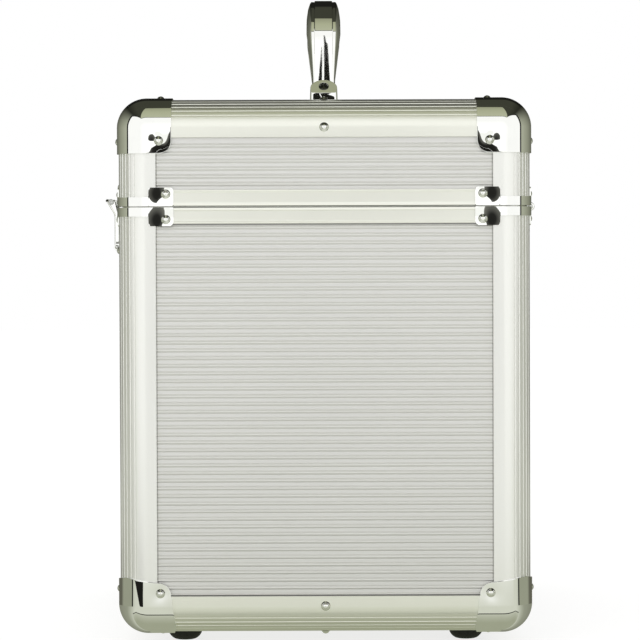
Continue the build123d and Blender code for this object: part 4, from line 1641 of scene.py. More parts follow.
@dataclass
class Foams:
    """Foam against the walls, on the floor and under the lid."""

    size: CaseSize = SIZE
    wall: float = 4.0
    floor: float = 6.0
    lid: float = 10.0

    def slab(self, low: Triple, high: Triple, bulge: float,
             divisions: int = 14) -> Shell:
        """Soft block between two corners, a little fuller in its middle.

        Args:
            low: its lowest corner.
            high: its highest corner.
            bulge: what its faces stand out by in the middle.
            divisions: squares along each side.

        Returns:
            The shell.
        """
        spans = [b - a for a, b in zip(low, high)]
        thin = spans.index(min(spans))
        u, v = [k for k in range(3) if k != thin]
        shell = Shell()
        for side in (0, 1):
            verts = []
            for i in range(divisions + 1):
                for j in range(divisions + 1):
                    p = [0.0, 0.0, 0.0]
                    a, b = i / divisions, j / divisions
                    full = (1 - (2 * a - 1) ** 4) * (1 - (2 * b - 1) ** 4)
                    wave = 0.6 + 0.4 * math.sin(7 * a + 3 * side) * math.cos(5 * b)
                    lift = bulge * full * wave
                    p[u], p[v] = low[u] + a * spans[u], low[v] + b * spans[v]
                    p[thin] = (high[thin] - bulge + lift if side
                               else low[thin] + bulge - lift)
                    verts.append(p)
            shell.add(verts, grid_faces(divisions, divisions))
        n, count = divisions + 1, len(shell.verts) // 2
        rim = ([(i, 0) for i in range(divisions)]
               + [(divisions, j) for j in range(divisions)]
               + [(i, divisions) for i in range(divisions, 0, -1)]
               + [(0, j) for j in range(divisions, 0, -1)])
        near = [i * n + j for i, j in rim]
        shell.faces += [[a, b, b + count, a + count]
                        for a, b in zip(near, near[1:] + near[:1])]
        return shell

    def build(self) -> None:
        """Makes the lining and both pads."""
        s = self.size
        x, y = s.hx - s.inner, s.hy - s.inner
        low, high = s.bottom + s.inner + self.floor, s.parting - 1.0
        inner = y - self.wall
        lining = Shell()
        for start, end in (((-x, -y), (x, -inner)), ((-x, inner), (x, y)),
                           ((-x, -inner), (-x + self.wall, inner)),
                           ((x - self.wall, -inner), (x, inner))):
            lining.merge(self.slab((*start, low), (*end, high), 0.4))
        floor = self.slab((-x, -y, s.bottom + s.inner), (x, y, low), 0.6)
        pad = self.slab((-x, -y, s.top - s.inner - self.lid),
                        (x, y, s.top - s.inner), 1.0)
        for shell, name, body, node in ((lining, "lining_foam", "base", "wall_lining"),
                                        (floor, "floor_foam", "base", "floor_pad"),
                                        (pad, "lid_foam", "lid", "lid_pad")):
            piece = shell.object(name, FOAM, bevel=0.9, angle=50.0, segments=3)
            fit(piece, body, FOAM, node)


# --- handle ---

def carved(shell: Shell, *tools: Shell) -> Shell:
    """The shell with the tools' volumes taken out of it.

    Args:
        shell: what is cut.
        tools: closed shells.

    Returns:
        A new shell.
    """
    def loose(part: Shell, name: str) -> Object:
        """A plain object of the part, for the cut only.

        Args:
            part: the shell.
            name: its name.

        Returns:
            The object.
        """
        mesh = mesh_of(name, part.verts, part.faces, 1.0)
        tidy_mesh(mesh)
        return linked(name, mesh)

    block = loose(shell, "block")
    cutters = [loose(tool, "tool") for tool in tools]
    for cutter in cutters:
        cut = block.modifiers.new("cut", "BOOLEAN")
        cut.object, cut.operation, cut.solver = cutter, "DIFFERENCE", "EXACT"
    baked(block)
    made = Shell().add([v.co for v in block.data.vertices],
                       [list(p.vertices) for p in block.data.polygons])
    for item in [block, *cutters]:
        bpy.data.objects.remove(item)
    return made


def sliced(shell: Shell, point: Triple, normal: Triple) -> Shell:
    """The shell without what lies beyond a plane, closed there.

    Args:
        shell: a closed shell.
        point: a point on the plane.
        normal: direction of the side that goes.

    Returns:
        A new shell.
    """
    work = bmesh.new()
    verts = [work.verts.new(v) for v in shell.verts]
    for f in shell.faces:
        work.faces.new([verts[i] for i in f])
    everything = list(work.verts) + list(work.edges) + list(work.faces)
    cut = bmesh.ops.bisect_plane(work, geom=everything, plane_co=point,
                                 plane_no=normal, clear_outer=True)
    edges = [g for g in cut["geom_cut"] if isinstance(g, bmesh.types.BMEdge)]
    bmesh.ops.contextual_create(work, geom=edges)
    work.verts.index_update()
    made = Shell().add([v.co for v in work.verts],
                       [[v.index for v in f.verts] for f in work.faces])
    work.free()
    return made


@dataclass
class Handle:
    """Bowed chrome handle with its grip, brackets, pins and screws."""

    size: CaseSize = SIZE
    pivot: float = 394.5
    arm_x: float = 71.0
    top: float = 463.7
    half_t: float = 8.0
    run: float = 23.4
    fall: float = 16.0
    radii: Pair = (19.0, 52.0)
    arm_w: float = 8.4
    bar_w: float = 12.5
    crest_w: float = 6.9
    seat: float = 382.5
    housing: float = 79.4
    length: float = 18.0
    flat: float = 10.8
    high: float = 19.0
    toe: float = 9.4
    lug: float = 58.0
    lug_r: float = 6.5
    foot_half: float = 10.0
    bend_steps: int = 18

    def path(self) -> list[tuple[Vector, Vector]]:
        """Points of the middle line in XZ with their outward direction.

        Returns:
            (point, direction) pairs.
        """
        level = self.top - self.half_t
        points = [Vector((self.arm_x, self.pivot - self.arm_w + 0.02)),
                  Vector((self.arm_x, level - self.fall)),
                  Vector((self.arm_x - self.run, level)), Vector((0.0, level))]
        line = [points[0]]
        for i, radius in enumerate(self.radii, start=1):
            back = (points[i - 1] - points[i]).normalized()
            ahead = (points[i + 1] - points[i]).normalized()
            half = math.acos(back.dot(ahead)) / 2
            centre = points[i] + (back + ahead).normalized() * radius / math.sin(half)
            start = points[i] + back * radius / math.tan(half) - centre
            turn = math.pi - 2 * half
            line += [centre + Matrix.Rotation(turn * k / self.bend_steps, 2) @ start
                     for k in range(self.bend_steps + 1)]
        line.append(points[-1])
        even = [line[0]]
        for a, b in zip(line, line[1:]):
            count = max(1, round((b - a).length / 1.0))
            even += [a.lerp(b, k / count) for k in range(1, count + 1)]
        made = []
        for i, p in enumerate(even):
            run = even[min(i + 1, len(even) - 1)] - even[max(i - 1, 0)]
            made.append((p, Vector((run.y, -run.x)).normalized()))
        made[-1] = (made[-1][0], Vector((0.0, 1.0)))
        other = [(Vector((-p.x, p.y)), Vector((-n.x, n.y))) for p, n in made[-2::-1]]
        return made + other

    def widened(self, w: float, z: float) -> float:
        """Half width of a section point, for its height above the pivot.

        Args:
            w: the point's half width on the bar.
            z: its height above the pivot.

        Returns:
            The half width.
        """
        wide = between(z, [(9.0, self.arm_w), (42.0, self.bar_w)])
        if w > self.crest_w:
            share = (wide - self.crest_w) / (self.bar_w - self.crest_w)
            w = self.crest_w + (w - self.crest_w) * share
        if z < 0:
            w *= math.sqrt(max(0.0004, 1 - (z / self.arm_w) ** 2))
        under = self.top - self.pivot - z
        return min(w, between(under, [(0.0, self.crest_w + 0.4), (2.2, 10.3),
                                      (6.0, 11.6), (14.0, self.bar_w)]))

    def swept(self, profile: Sequence[Pair], start: float,
              ripple: float = 0.0) -> Shell:
        """Sweeps half a section and its mirror along the bow.

        Args:
            profile: (out, half width) points from the crest inwards.
            start: height above the pivot at which the sweep starts.
            ripple: depth of the cross ribs on the inner side.

        Returns:
            The shell.
        """
        stations = [s for s in self.path() if s[0].y - self.pivot >= start - 0.01]
        rings = []
        for k, (p, n) in enumerate(stations):
            near = []
            dip = ripple * (0.5 - 0.5 * math.cos(2 * math.pi * k / 5))
            for t, w in profile:
                t += dip if t < -self.half_t else 0.0
                spot = p + n * t
                near.append((spot, self.widened(w, spot.y - self.pivot)))
            ring = [(s.x, w, s.y) for s, w in near]
            ring += [(s.x, -w, s.y) for s, w in reversed(near)]
            rings.append(ring)
        return Shell().rings(rings)

    def shell(self) -> Shell:
        """The chrome bow with its five outer facets."""
        t = self.half_t
        return self.swept([(t, 5.8), (t, 6.2), (t - 0.12, 6.4), (t - 0.8, 6.65),
                           (t - 0.92, 6.9), (t - 0.75, 8.85), (t - 1.0, 9.2),
                           (t - 1.5, 9.6), (5.8, 10.0), (2.0, 11.3), (-3.0, 12.1),
                           (-5.6, 12.42), (-6.6, 12.5), (-7.4, 12.3), (-t, 11.7),
                           (-t, 10.0), (-t + 0.6, 9.8), (-t + 0.6, 0.2)],
                          -self.arm_w + 0.02)

    def grip(self) -> Shell:
        """The black insert under the bow, ribbed across."""
        return self.swept([(-3.0, 9.3), (-7.4, 9.5), (-8.05, 9.1), (-8.5, 8.0),
                           (-8.75, 6.0), (-8.85, 3.0), (-8.85, 0.2)], 22.0, 0.5)

    def slope(self) -> Matrix:
        """Frame at the middle of the right bracket's slope, Z outwards."""
        run, fall = self.length - self.flat, self.high - self.toe
        return facing((self.housing + self.flat + run / 2, 0,
                       self.seat + self.high - fall / 2), (fall, 0, run))

    def bracket(self) -> Shell:
        """The right bracket: housing with a sloping toe, lug and foot.

        Returns:
            The shell.
        """
        across = frame_at((self.housing, 0, self.seat), (0, 1, 0), (0, 0, 1))
        side = self.high - 6.0
        arch = [(9.7 * math.cos(a), side + 6.0 * math.sin(a))
                for a in (math.pi * i / 24 for i in range(25))]
        outline = [(-10, 0), (10, 0), (9.9, side * 0.6)] + arch + [(-9.9, side * 0.6)]
        rounding = [(0.0, 1.0), (self.length - 2.4, 1.0), (self.length - 1.2, 0.97),
                    (self.length - 0.5, 0.92), (self.length - 0.12, 0.85),
                    (self.length, 0.78)]
        body = Shell().rings([[across @ Vector((w * share, h, run))
                               for w, h in outline] for run, share in rounding])
        body = sliced(body, (self.housing + self.flat, 0, self.seat + self.high),
                      (self.high - self.toe, 0, self.length - self.flat))
        well = Shell().lathe([(0, -1.6), (3.6, -1.6), (3.6, 8), (0, 8)],
                             self.slope(), 40)
        body = carved(body, well)
        wide, end = self.foot_half, self.housing + 2
        plate = rounded([(self.lug, -wide), (end, -wide), (end, wide),
                         (self.lug, wide)], [3.5, 0, 0, 3.5], 6)
        body.prism(plate, Matrix.Translation((0, 0, self.seat)), 0, 1.5)
        drop, r = self.pivot - self.seat - 0.5, self.lug_r
        lug = [(-r, -drop), (r, -drop)] + arc((0, 0), r, 0, 180, 24)
        return body.prism(lug, frame_at((self.lug, 0, self.pivot), (0, 1, 0),
                                        (0, 0, 1)), 0, 4.6)

    def screw(self) -> Shell:
        """Cross-headed screw sunk in the slope.

        Returns:
            The shell.
        """
        place = self.slope()
        head = Shell().lathe([(0, -0.35), (1.2, -0.38), (2.3, -0.55), (3.0, -0.85),
                              (3.3, -1.2), (3.3, -1.7), (0, -1.7)], place, 40)
        a, b = 0.42, 2.1
        cross = [(a, a), (a, b), (-a, b), (-a, a), (-b, a), (-b, -a), (-a, -a),
                 (-a, -b), (a, -b), (a, -a), (b, -a), (b, a)]
        return carved(head, Shell().prism(cross, place, -1.3, 1.0))

    def pin(self) -> Shell:
        """Right pivot pin with a domed head beside the lug.

        Returns:
            The shell.
        """
        place = frame_at((0, 0, self.pivot), (0, 1, 0), (0, 0, 1))
        near, far = self.lug, self.housing + 5
        profile = [(0, near - 1.1), (1.8, near - 1.0), (2.9, near - 0.5),
                   (3.1, near + 0.05), (2.0, near + 0.1), (2.0, far), (0, far)]
        return Shell().lathe(profile, place, 28)

    def build(self) -> None:
        """Makes every piece of the handle and its mountings."""
        mirror = Matrix.Diagonal((-1, 1, 1, 1))
        screw, pin, right = self.screw(), self.pin(), self.bracket()
        screws, pins = (Shell().merge(one).merge(one, mirror) for one in (screw, pin))
        self.shell().fitted("handle_bow", "handle", CHROME, "handle_shell",
                            angle=30.0)
        self.grip().fitted("handle_insert", "handle", GRIP, "handle_grip",
                           angle=50.0)
        for shell, side in ((right, "right"), (Shell().merge(right, mirror), "left")):
            shell.fitted(f"handle_bracket_{side[0]}", "lid", CHROME,
                         f"handle_bracket_{side}", bevel=0.35, angle=32.0,
                         segments=3)
        screws.fitted("bracket_screws", "lid", DARK_STEEL, "handle_screws",
                      bevel=0.12, angle=40.0)
        pins.fitted("pivot_pins", "lid", STEEL, "handle_pins", angle=40.0)


# --- latches and hinges ---

class Side(Enum):
    """A latch's side of the front, seen from outside."""

    LEFT = "left"
    RIGHT = "right"


@dataclass
class Latch:
    """One latch: plate, lever, hook bar, key lock and keeper."""

    side: Side
    size: CaseSize = SIZE
    centre: float = 108.0
    lever_half: float = 15.5
    lever_out: float = 4.9
    lever_skin: float = 0.7
    lock_drop: float = 15.0
    lock_proud: float = 0.65
    pivot: Pair = (3.8, -28.0)
    hook: Pair = (7.9, 4.0)
    sheet: float = 1.5
    plate_rivets: tuple[float, Pair] = (20.5, (-7.5, -30.5))
    keeper_rivets: tuple[float, tuple[float]] = (10.0, (14.5,))

    @property
    def x(self) -> float:
        """Middle of the latch along X."""
        return self.centre if self.side is Side.RIGHT else -self.centre

    def face(self) -> Matrix:
        """Frame on the front: X along the case, Y up, Z outwards."""
        return frame_at((self.x, -self.size.hy, self.size.parting), (1, 0, 0),
                        (0, 0, 1))

    def profile(self) -> Matrix:
        """Frame across the front: X outwards, Y up, Z towards -X."""
        return frame_at((self.x, -self.size.hy, self.size.parting), (0, -1, 0),
                        (0, 0, 1))

    def axis(self, spot: Pair) -> Matrix:
        """Frame whose Z runs along X through a point of the side profile."""
        out, z = spot
        return facing((self.x, -self.size.hy - out, self.size.parting + z),
                      (1, 0, 0))

    def plate(self) -> Shell:
        """Base plate with two ears.

        Returns:
            The shell.
        """
        outline = rounded([(-24, -36), (24, -36), (24, -1.4), (-24, -1.4)],
                          [4, 4, 2.5, 2.5], 6)
        shell = Shell().prism(outline, self.face(), 0, self.sheet)
        out, z = self.pivot
        ear = ([(0.5, z - 3.6), (out - 1.0, z - 2.3)] + arc((out, z), 2.3, -90, 90, 12)
               + [(out - 1.0, z + 2.3), (0.5, z + 3.6)])
        for low in (-self.lever_half - 2.1, self.lever_half + 0.3):
            shell.prism(ear, self.profile(), low, low + 1.8)
        return shell

    def lever(self) -> Shell:
        """Curved sheet lever with its knuckle and cheeks.

        Returns:
            The shell.
        """
        out = self.lever_out
        line = smooth_line([(out, -28.6), (out, -20), (out, -12), (out, -6.4),
                            (out + 0.5, -4.2), (out + 2.2, -1.2),
                            (out + 4.4, 2.4), (11.6, 6.0)], 8)
        rings, place, last, tip_r = [], self.profile(), len(line) - 1, 4.0
        for i, point in enumerate(line):
            run = Vector(line[min(i + 1, last)]) - Vector(line[max(i - 1, 0)])
            away = Vector((run.y, -run.x)).normalized()
            left = sum(math.dist(line[k], line[k + 1]) for k in range(i, last))
            curve = tip_r - math.sqrt(tip_r ** 2 - max(0.0, tip_r - left) ** 2)
            half = self.lever_half - curve
            thick = self.lever_skin + 0.35 * math.exp(-((left - 0.9) / 0.7) ** 2)
            if left < 0.4:
                thick *= 0.4 + 1.5 * left
            section = [(half - 0.4, -thick), (half, -thick + 0.35),
                       (half, thick - 0.35), (half - 0.4, thick)]
            section += [(-a, b) for a, b in reversed(section)]
            rings.append([place @ Vector((point[0] + away.x * b,
                                          point[1] + away.y * b, a))
                          for a, b in section])
        shell = Shell().rings(rings)
        shell.rod(1.9, -self.lever_half, self.lever_half, self.axis(self.pivot), 24)
        cheek = rounded([(2.5, -24.4), (4.6, -24.4), (4.6, -4.6), (9.6, 4.4),
                         (8.3, 6.6), (5.4, 4.6), (2.5, -7.5)],
                        [1.0, 0, 6.0, 1.6, 1.8, 2.0, 3.0], 5)
        for low in (-self.lever_half - 1.4, self.lever_half):
            shell.prism(cheek, place, low, low + 1.4)
        return shell

    def hook_bar(self) -> Shell:
        """Bar between the cheeks, with ringed ends.

        Returns:
            The shell.
        """
        end = self.lever_half + 0.4
        reach = end + 1.4
        half = [(0, reach - 0.35), (0.9, reach - 0.3), (1.1, reach), (1.75, reach),
                (2.05, reach - 0.35), (2.05, end + 0.95), (1.9, end + 0.9)]
        return Shell().lathe(both_ends(half), self.axis(self.hook), 28)

    def lock(self) -> Shell:
        """Key cylinder with its keyway and cam.

        Returns:
            The shell.
        """
        place = self.face() @ Matrix.Translation((0, -self.lock_drop, 0))
        high = self.lever_out + self.lever_skin + self.lock_proud
        body = Shell().lathe([(0, high - 0.1), (3.1, high - 0.1), (3.3, high),
                              (4.3, high), (4.7, high - 0.3), (4.7, high - 0.62),
                              (4.0, high - 0.62), (4.0, high - 2.9),
                              (0, high - 2.9)], place, 40)
        slot = rounded([(-0.55, -2.4), (0.55, -2.4), (0.55, 0.2), (1.0, 0.8),
                        (0.4, 2.4), (-0.55, 2.4)], [0.3] * 6, 3)
        body = carved(body, Shell().prism(slot, place, high - 1.6, high + 1))
        cam = rounded([(-2, -2.5), (2, -2.5), (2, 7), (-2, 7)], [1, 1, 1.6, 1.6])
        return body.prism(cam, place, high - 2.9, high - 2.0)

    def pin(self) -> Shell:
        """Pin through the plate's ears, its ends domed.

        Returns:
            The shell.
        """
        reach = self.lever_half + 2.1
        half = [(0, reach + 0.55), (0.9, reach + 0.45), (1.5, reach + 0.15),
                (1.6, reach - 0.05), (1.0, reach - 0.1)]
        return Shell().lathe(both_ends(half), self.axis(self.pivot), 24)

    def keeper(self) -> Shell:
        """Strike plate with an upturned lip.

        Returns:
            The shell.
        """
        outline = rounded([(-15, 1.4), (15, 1.4), (15, 21), (-15, 21)],
                          [1.5, 1.5, 4, 4], 6)
        shell = Shell().prism(outline, self.face(), 0, self.sheet)
        hook = rounded([(0.5, 1.4), (5.6, 1.4), (5.6, 5.4), (4.4, 5.4), (4.4, 2.7),
                        (0.5, 2.7)], [0, 1.5, 0.5, 0.5, 0.6, 0], 4)
        return shell.prism(hook, self.profile(), -11, 11)

    def build(self) -> Shell:
        """Makes the latch's pieces and gives back its pin for the pair.

        Returns:
            The pin's shell.
        """
        side = self.side.value
        latch = f"latch_{side}"
        pieces = ((self.plate(), "plate", "base", CHROME, "latch_plate", 0.25, 40.0),
                  (self.lever(), "lever", latch, CHROME, "latch_lever", 0.18, 50.0),
                  (self.hook_bar(), "hook_bar", latch, STEEL, "latch_hook_bar", 0.0,
                   40.0),
                  (self.lock(), "key_lock", f"lock_{side}", BRASS,
                   "lock_cylinder", 0.1, 40.0),
                  (self.keeper(), "keeper", "lid", CHROME, "latch_keeper", 0.25,
                   40.0))
        for shell, name, body, finish, node, bevel, angle in pieces:
            shell.fitted(f"{name}_{side}", body, finish, f"{node}_{side}",
                         bevel=bevel, angle=angle)
        return self.pin()


@dataclass
class Hinges:
    """The two three-knuckle hinges on the back."""

    size: CaseSize = SIZE
    place: float = 95.0
    half: float = 26.0
    out: float = 3.3
    sheet: float = 1.3
    near: float = 3.7
    far: float = 24.0
    knuckle: float = 3.0
    play: float = 0.15
    rivet_run: float = 18.0
    rivet_rise: float = 17.0

    def leaf(self, x: float, way: int) -> Shell:
        """One leaf with its share of the knuckles.

        Args:
            x: the hinge's middle.
            way: -1 for the base's leaf, 1 for the lid's.

        Returns:
            The shell.
        """
        s = self.size
        face = frame_at((x, s.hy, s.parting), (-1, 0, 0), (0, 0, 1))
        near, far = way * self.near, way * self.far
        outline = rounded([(-self.half, near), (self.half, near),
                           (self.half, far), (-self.half, far)], [0, 0, 4, 4], 6)
        shell = Shell().prism(outline, face, 0, self.sheet)
        pitch = 2 * self.half / 3
        axis = facing((x, s.hy + self.out, s.parting), (1, 0, 0))
        for i in ((0, 2) if way < 0 else (1,)):
            low = -self.half + i * pitch + self.play
            high = -self.half + (i + 1) * pitch - self.play
            shell.rod(self.knuckle, low, high, axis, 36, 0.35)
            root = way * (self.near + 1.0)
            tab = [(low, 0.0), (high, 0.0), (high, root), (low, root)]
            flat = Matrix.Diagonal((-1, 1, 1, 1))
            shell.prism(tab, face @ flat, 0.3, self.sheet)
        return shell

    def pin(self, x: float) -> Shell:
        """Pin through the knuckles, its ends peened.

        Args:
            x: the hinge's middle.

        Returns:
            The shell.
        """
        end = self.half
        half = [(0, end + 0.6), (1.1, end + 0.5), (1.9, end + 0.15), (2.0, end - 0.1),
                (1.2, end - 0.2)]
        place = facing((x, self.size.hy + self.out, self.size.parting), (1, 0, 0))
        return Shell().lathe(both_ends(half), place, 24)

    def build(self) -> None:
        """Makes the leaves of each half and the pins."""
        for way, body in ((-1, "base"), (1, "lid")):
            shell = Shell()
            for x in (-self.place, self.place):
                shell.merge(self.leaf(x, way))
            shell.fitted(f"{body}_leaves", body, CHROME, f"hinge_{body}_leaves",
                         bevel=0.25, angle=40.0)
        pins = Shell().merge(self.pin(-self.place)).merge(self.pin(self.place))
        pins.fitted("knuckle_pins", "base", STEEL, "hinge_pins", angle=40.0)


# --- studio ---

@dataclass
class Studio:
    """Camera, pale floor, soft world and what the chrome reflects."""

    distance: float = 2.0
    eye: float = 0.290
    aside: float = -0.00319
    floor_r: float = 6.0
    lens: float = 147.9
    shift: float = -0.06
    pitch: float = 1.0434
    roll: float = -0.2
    white: Triple = (1.14, 1.15, 1.12)
    pale: Triple = (0.99, 0.995, 0.97)
    olive: Triple = (0.40, 0.42, 0.28)
    side: Triple = (0.30, 0.315, 0.235)
    dark: Triple = (0.045, 0.047, 0.033)
    black: Triple = (0.012, 0.012, 0.010)
    table: Triple = (0.62, 0.64, 0.54)
    bright: Triple = (0.97, 0.98, 0.94)
    shade: Triple = (0.34, 0.36, 0.26)
    half_shade: Triple = (0.50, 0.52, 0.42)
    box_at: Triple = (1.6, -0.5, 2.0)
    box_aim: Triple = (0.0, 0.0, 0.25)
    box_size: Pair = (1.8, 1.2)
    box_power: float = 9.0

    def camera(self) -> None:
        """The camera, looking along -X at the short side."""
        data = bpy.data.cameras.new("camera")
        data.lens, data.sensor_width, data.shift_y = self.lens, 36.0, self.shift
        data.clip_start, data.clip_end = 0.01, 40.0
        made = linked("camera", data)
        turn = (Matrix.Rotation(math.radians(90), 4, "Z")
                @ Matrix.Rotation(math.radians(90 - self.pitch), 4, "X")
                @ Matrix.Rotation(math.radians(self.roll), 4, "Z"))
        made.matrix_world = Matrix.Translation((self.distance, self.aside,
                                                self.eye)) @ turn
        bpy.context.scene.camera = made

    def surface(self, mesh: Mesh) -> Graph:
        """Gives a mesh a material of its own name and starts its graph.

        Args:
            mesh: the mesh.

        Returns:
            The material's graph.
        """
        material = bpy.data.materials.new(mesh.name)
        material.use_nodes = True
        mesh.materials.append(material)
        return Graph(material.node_tree)

    def world(self) -> None:
        """White to the camera, soft to diffuse rays, a studio to the chrome.

        To the chrome it is white within about 40 degrees of +X, the camera's
        side; round that are a dark roof overhead and grey-green flanks.
        """
        world = bpy.data.worlds.new("studio")
        bpy.context.scene.world = world
        world.use_nodes = True
        g, degrees = Graph(world.node_tree), 180 / math.pi
        x, y, z = g.parts(g.node("ShaderNodeTexCoord", out="Generated"))
        # Angle from +X, and height of the direction seen along X.
        away = x.of("ARCCOSINE") * degrees
        climb = z.of("ARCTAN2", y.of("ABSOLUTE")) * degrees
        beside = g.ramp(climb / 90.0, [(0.44, 1.0), (0.69, 0.0)])
        overhead = g.ramp(away / 180.0, [
            (0.22, (0.46, 0.48, 0.34)), (0.36, self.olive),
            (0.482, (0.29, 0.30, 0.20)), (0.488, self.dark), (0.715, self.dark),
            (0.74, self.black), (0.93, self.black), (0.965, self.side)])
        roof = g.mixed(away + (90.0 - climb) * 1.5 > 87.5, overhead, self.dark)
        roof = g.mixed(away > 87.5, roof, overhead)
        flank = g.ramp(away / 180.0, [
            (0.43, (0.42, 0.44, 0.34)), (0.56, (0.33, 0.345, 0.26)),
            (0.68, (0.25, 0.26, 0.195)), (0.83, (0.14, 0.145, 0.11))])
        fade = g.ramp((climb + 30.0) / 90.0, [(0.36, 1.0), (0.56, 0.8),
                                              (0.72, 0.4), (0.84, 0.04)])
        flank = g.node("ShaderNodeMix", {"data_type": "RGBA",
                                         "blend_type": "MULTIPLY"},
                       {0: 1.0, 6: flank, 7: fade}, 2)
        outer = g.mixed(beside, roof, flank)
        # A thin black edge parts the white from what lies round it.
        edge = away - beside * 33.0
        outer = g.mixed(edge < beside * 5.0 + 42.0, outer, self.black)
        glow = g.ramp(away / 60.0, [(0.0, self.white), (0.1, self.white),
                                    (0.4, self.pale)])
        inner = g.mixed(z < -0.03, glow, self.bright)
        scene = g.mixed(edge > 40.5, inner, outer)
        path = g.node("ShaderNodeLightPath", out="Is Camera Ray")
        shiny = g.node("ShaderNodeLightPath", out="Is Glossy Ray")
        level = g.ramp(z, [(0.0, (1.12,) * 3), (0.5, (0.97,) * 3),
                           (1.0, (0.66,) * 3)])
        seen = g.mixed(path, g.mixed(shiny, level, scene), (1.0, 1.0, 1.0))
        back = g.node("ShaderNodeBackground", {}, {"Color": seen, "Strength": 1.0})
        g.node("ShaderNodeOutputWorld", {}, {"Surface": back})

    def floor(self) -> None:
        """Pale floor, white to the camera where nothing shades it.

        Mirrors see tones on it instead, set out by the angle and distance
        from the case's two corners on the camera's side.
        """
        hx, hy = SIZE.hx * MM, SIZE.hy * MM
        edge_r = SIZE.edge_r * MM
        rim = [(self.floor_r * math.cos(a), self.floor_r * math.sin(a), 0.0)
               for a in (2 * math.pi * i / 64 for i in range(64))]
        mesh = mesh_of("floor", rim, [list(range(64))], 1.0)
        made = linked("floor", mesh)
        g = self.surface(mesh)
        path = g.node("ShaderNodeLightPath", out="Is Camera Ray")
        shiny = g.node("ShaderNodeLightPath", out="Is Glossy Ray")
        x, y, _ = g.parts(g.node("ShaderNodeTexCoord", out="Object"))
        ahead, beyond = x - (hx - edge_r), y.of("ABSOLUTE") - (hy - edge_r)
        round_corner = beyond.of("ARCTAN2", ahead) * (180 / math.pi)
        far = (ahead * ahead + beyond * beyond).of("SQRT")
        reach = (x - hx).of("MAXIMUM", beyond - edge_r)
        away = g.ramp(round_corner / 180.0, [
            (0.23, self.table), (0.27, self.table), (0.39, (0.40, 0.42, 0.33)),
            (0.47, (0.30, 0.315, 0.24)), (0.72, (0.24, 0.25, 0.19))])
        near = g.ramp(reach * 10.0, [
            (0.0, self.shade), (0.27, self.half_shade), (0.285, self.black),
            (0.32, self.black)])
        open_floor = g.ramp(x / 2.0, [(0.155, self.table), (0.5, self.bright)])
        away = g.mixed(round_corner > 40.0, open_floor, away)
        zones = g.mixed((reach > 0.0325) + (round_corner > 58.0), near, away)
        band = g.ramp(round_corner / 180.0, [
            (0.325, self.black), (0.352, self.black), (0.358, self.side),
            (0.60, self.side), (0.68, (0.12, 0.12, 0.09))])
        zones = g.mixed((far > 0.205) * (round_corner > 58.5), zones, band)
        patch = ((round_corner > 18.9) * (round_corner < (far - 0.217) * 130.0 + 29.0)
                 * (far > 0.205) * (far < 0.42) * (y < 0.0))
        zones = g.mixed(patch, zones, self.black)
        ring = g.ramp(far / 2.0, [(0.27, 0.0), (0.34, 0.6), (0.62, 0.6), (0.75, 0.0)])
        zones = g.mixed(ring * (round_corner > 42.0), zones, self.table)
        # Diffuse rays see it dark under the case and paler farther out.
        apart = ((x.of("ABSOLUTE") - hx).of("MAXIMUM", 0.0)
                 + (y.of("ABSOLUTE") - hy).of("MAXIMUM", 0.0))
        bounce = g.ramp(apart * 2.5, [(0.0, (0.08, 0.08, 0.07)),
                                      (0.25, (0.28, 0.28, 0.26)),
                                      (1.0, (0.66, 0.66, 0.63))])
        tone = g.mixed(shiny, bounce, zones)
        glow = g.node("ShaderNodeEmission", {}, {"Strength": 0.78})
        dull = g.node("ShaderNodeBsdfDiffuse", {}, {"Color": (0.3, 0.3, 0.295)})
        seen = g.node("ShaderNodeAddShader", {}, {0: glow, 1: dull})
        unseen = g.node("ShaderNodeEmission", {}, {"Color": tone})
        both = g.node("ShaderNodeMixShader", {}, {0: path, 1: unseen, 2: seen})
        g.node("ShaderNodeOutputMaterial", {}, {"Surface": both})

    def stand(self) -> None:
        """Dark camera stand that only the reflections see.

        It is two flat shapes, right and left of a narrow gap at its middle.
        """
        middle, edge = 0.0037, self.distance
        right = [(0.0, 1.40), (0.0018, 1.30), (0.0034, 0.66), (0.0044, 0.59),
                 (0.0086, 0.514), (0.016, 0.497), (0.075, 0.47), (0.13, 0.44),
                 (0.24, 0.0), (0.0, 0.0)]
        left = [(-0.0028, 0.0), (-0.24, 0.0), (-0.13, 0.44), (-0.075, 0.47),
                (-0.016, 0.497), (-0.0082, 0.514), (-0.0036, 0.562),
                (-0.0028, 0.564)]
        verts = [(edge, middle + y, z) for y, z in right + left]
        faces = [list(range(len(right))),
                 list(range(len(right), len(right + left)))]
        mesh = mesh_of("stand", verts, faces, 1.0)
        made = linked("stand", mesh)
        g = self.surface(mesh)
        _, y, _ = g.parts(g.node("ShaderNodeTexCoord", out="Object"))
        tone = g.ramp((y - middle).of("ABSOLUTE") * 4.0, [
            (0.0, (0.01, 0.01, 0.008)), (0.35, (0.02, 0.02, 0.018)),
            (0.75, (0.16, 0.16, 0.14)), (0.97, (0.5, 0.5, 0.46))])
        dull = g.node("ShaderNodeEmission", {}, {"Color": tone})
        g.node("ShaderNodeOutputMaterial", {}, {"Surface": dull})
        made.visible_camera = made.visible_diffuse = made.visible_shadow = False

    def lamp(self) -> None:
        """Large soft lamp above the camera side."""
        data = bpy.data.lights.new("softbox", "AREA")
        data.shape, data.energy = "RECTANGLE", self.box_power
        data.size, data.size_y = self.box_size
        made = linked("softbox", data)
        spot = Vector(self.box_at)
        aim = (Vector(self.box_aim) - spot).to_track_quat("-Z", "Y")
        made.matrix_world = Matrix.Translation(spot) @ aim.to_matrix().to_4x4()
        made.visible_glossy = made.visible_camera = False

    def build(self) -> None:
        """Sets the studio up."""
        self.camera()
        self.world()
        self.floor()
        self.stand()
        self.lamp()
        bpy.context.scene.view_settings.view_transform = "Standard"


# --- main ---


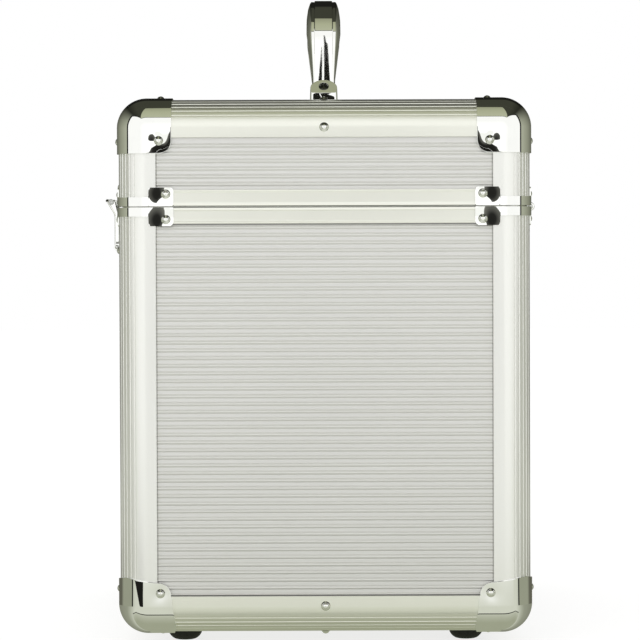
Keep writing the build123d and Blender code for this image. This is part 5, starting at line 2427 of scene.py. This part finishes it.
def main() -> None:
    """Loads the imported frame, dresses every piece and sets the studio."""
    logging.basicConfig(level=logging.INFO, format="%(name)s: %(message)s")
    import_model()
    for half in Half:
        Extrusions(half).build()
        base = half is Half.BASE
        panels = (RibbedPanels(half) if base
                  else RibbedPanels(half, crease=0.36, crease_width=0.16))
        panels.build()
        caps = (CornerCaps(half, reach=36.5, slant=3.2, curl=0.001) if base
                else CornerCaps(half))
        caps.build()
        EdgeBrackets(half).build()
        Rivets(half).build()
    Feet().build()
    Foams().build()
    Handle().build()
    pins = Shell()
    for side in Side:
        pins.merge(Latch(side).build())
    pins.fitted("lever_pins", "base", STEEL, "latch_pins", angle=40.0)
    Hinges().build()
    Studio().build()


if __name__ == "__main__":
    main()
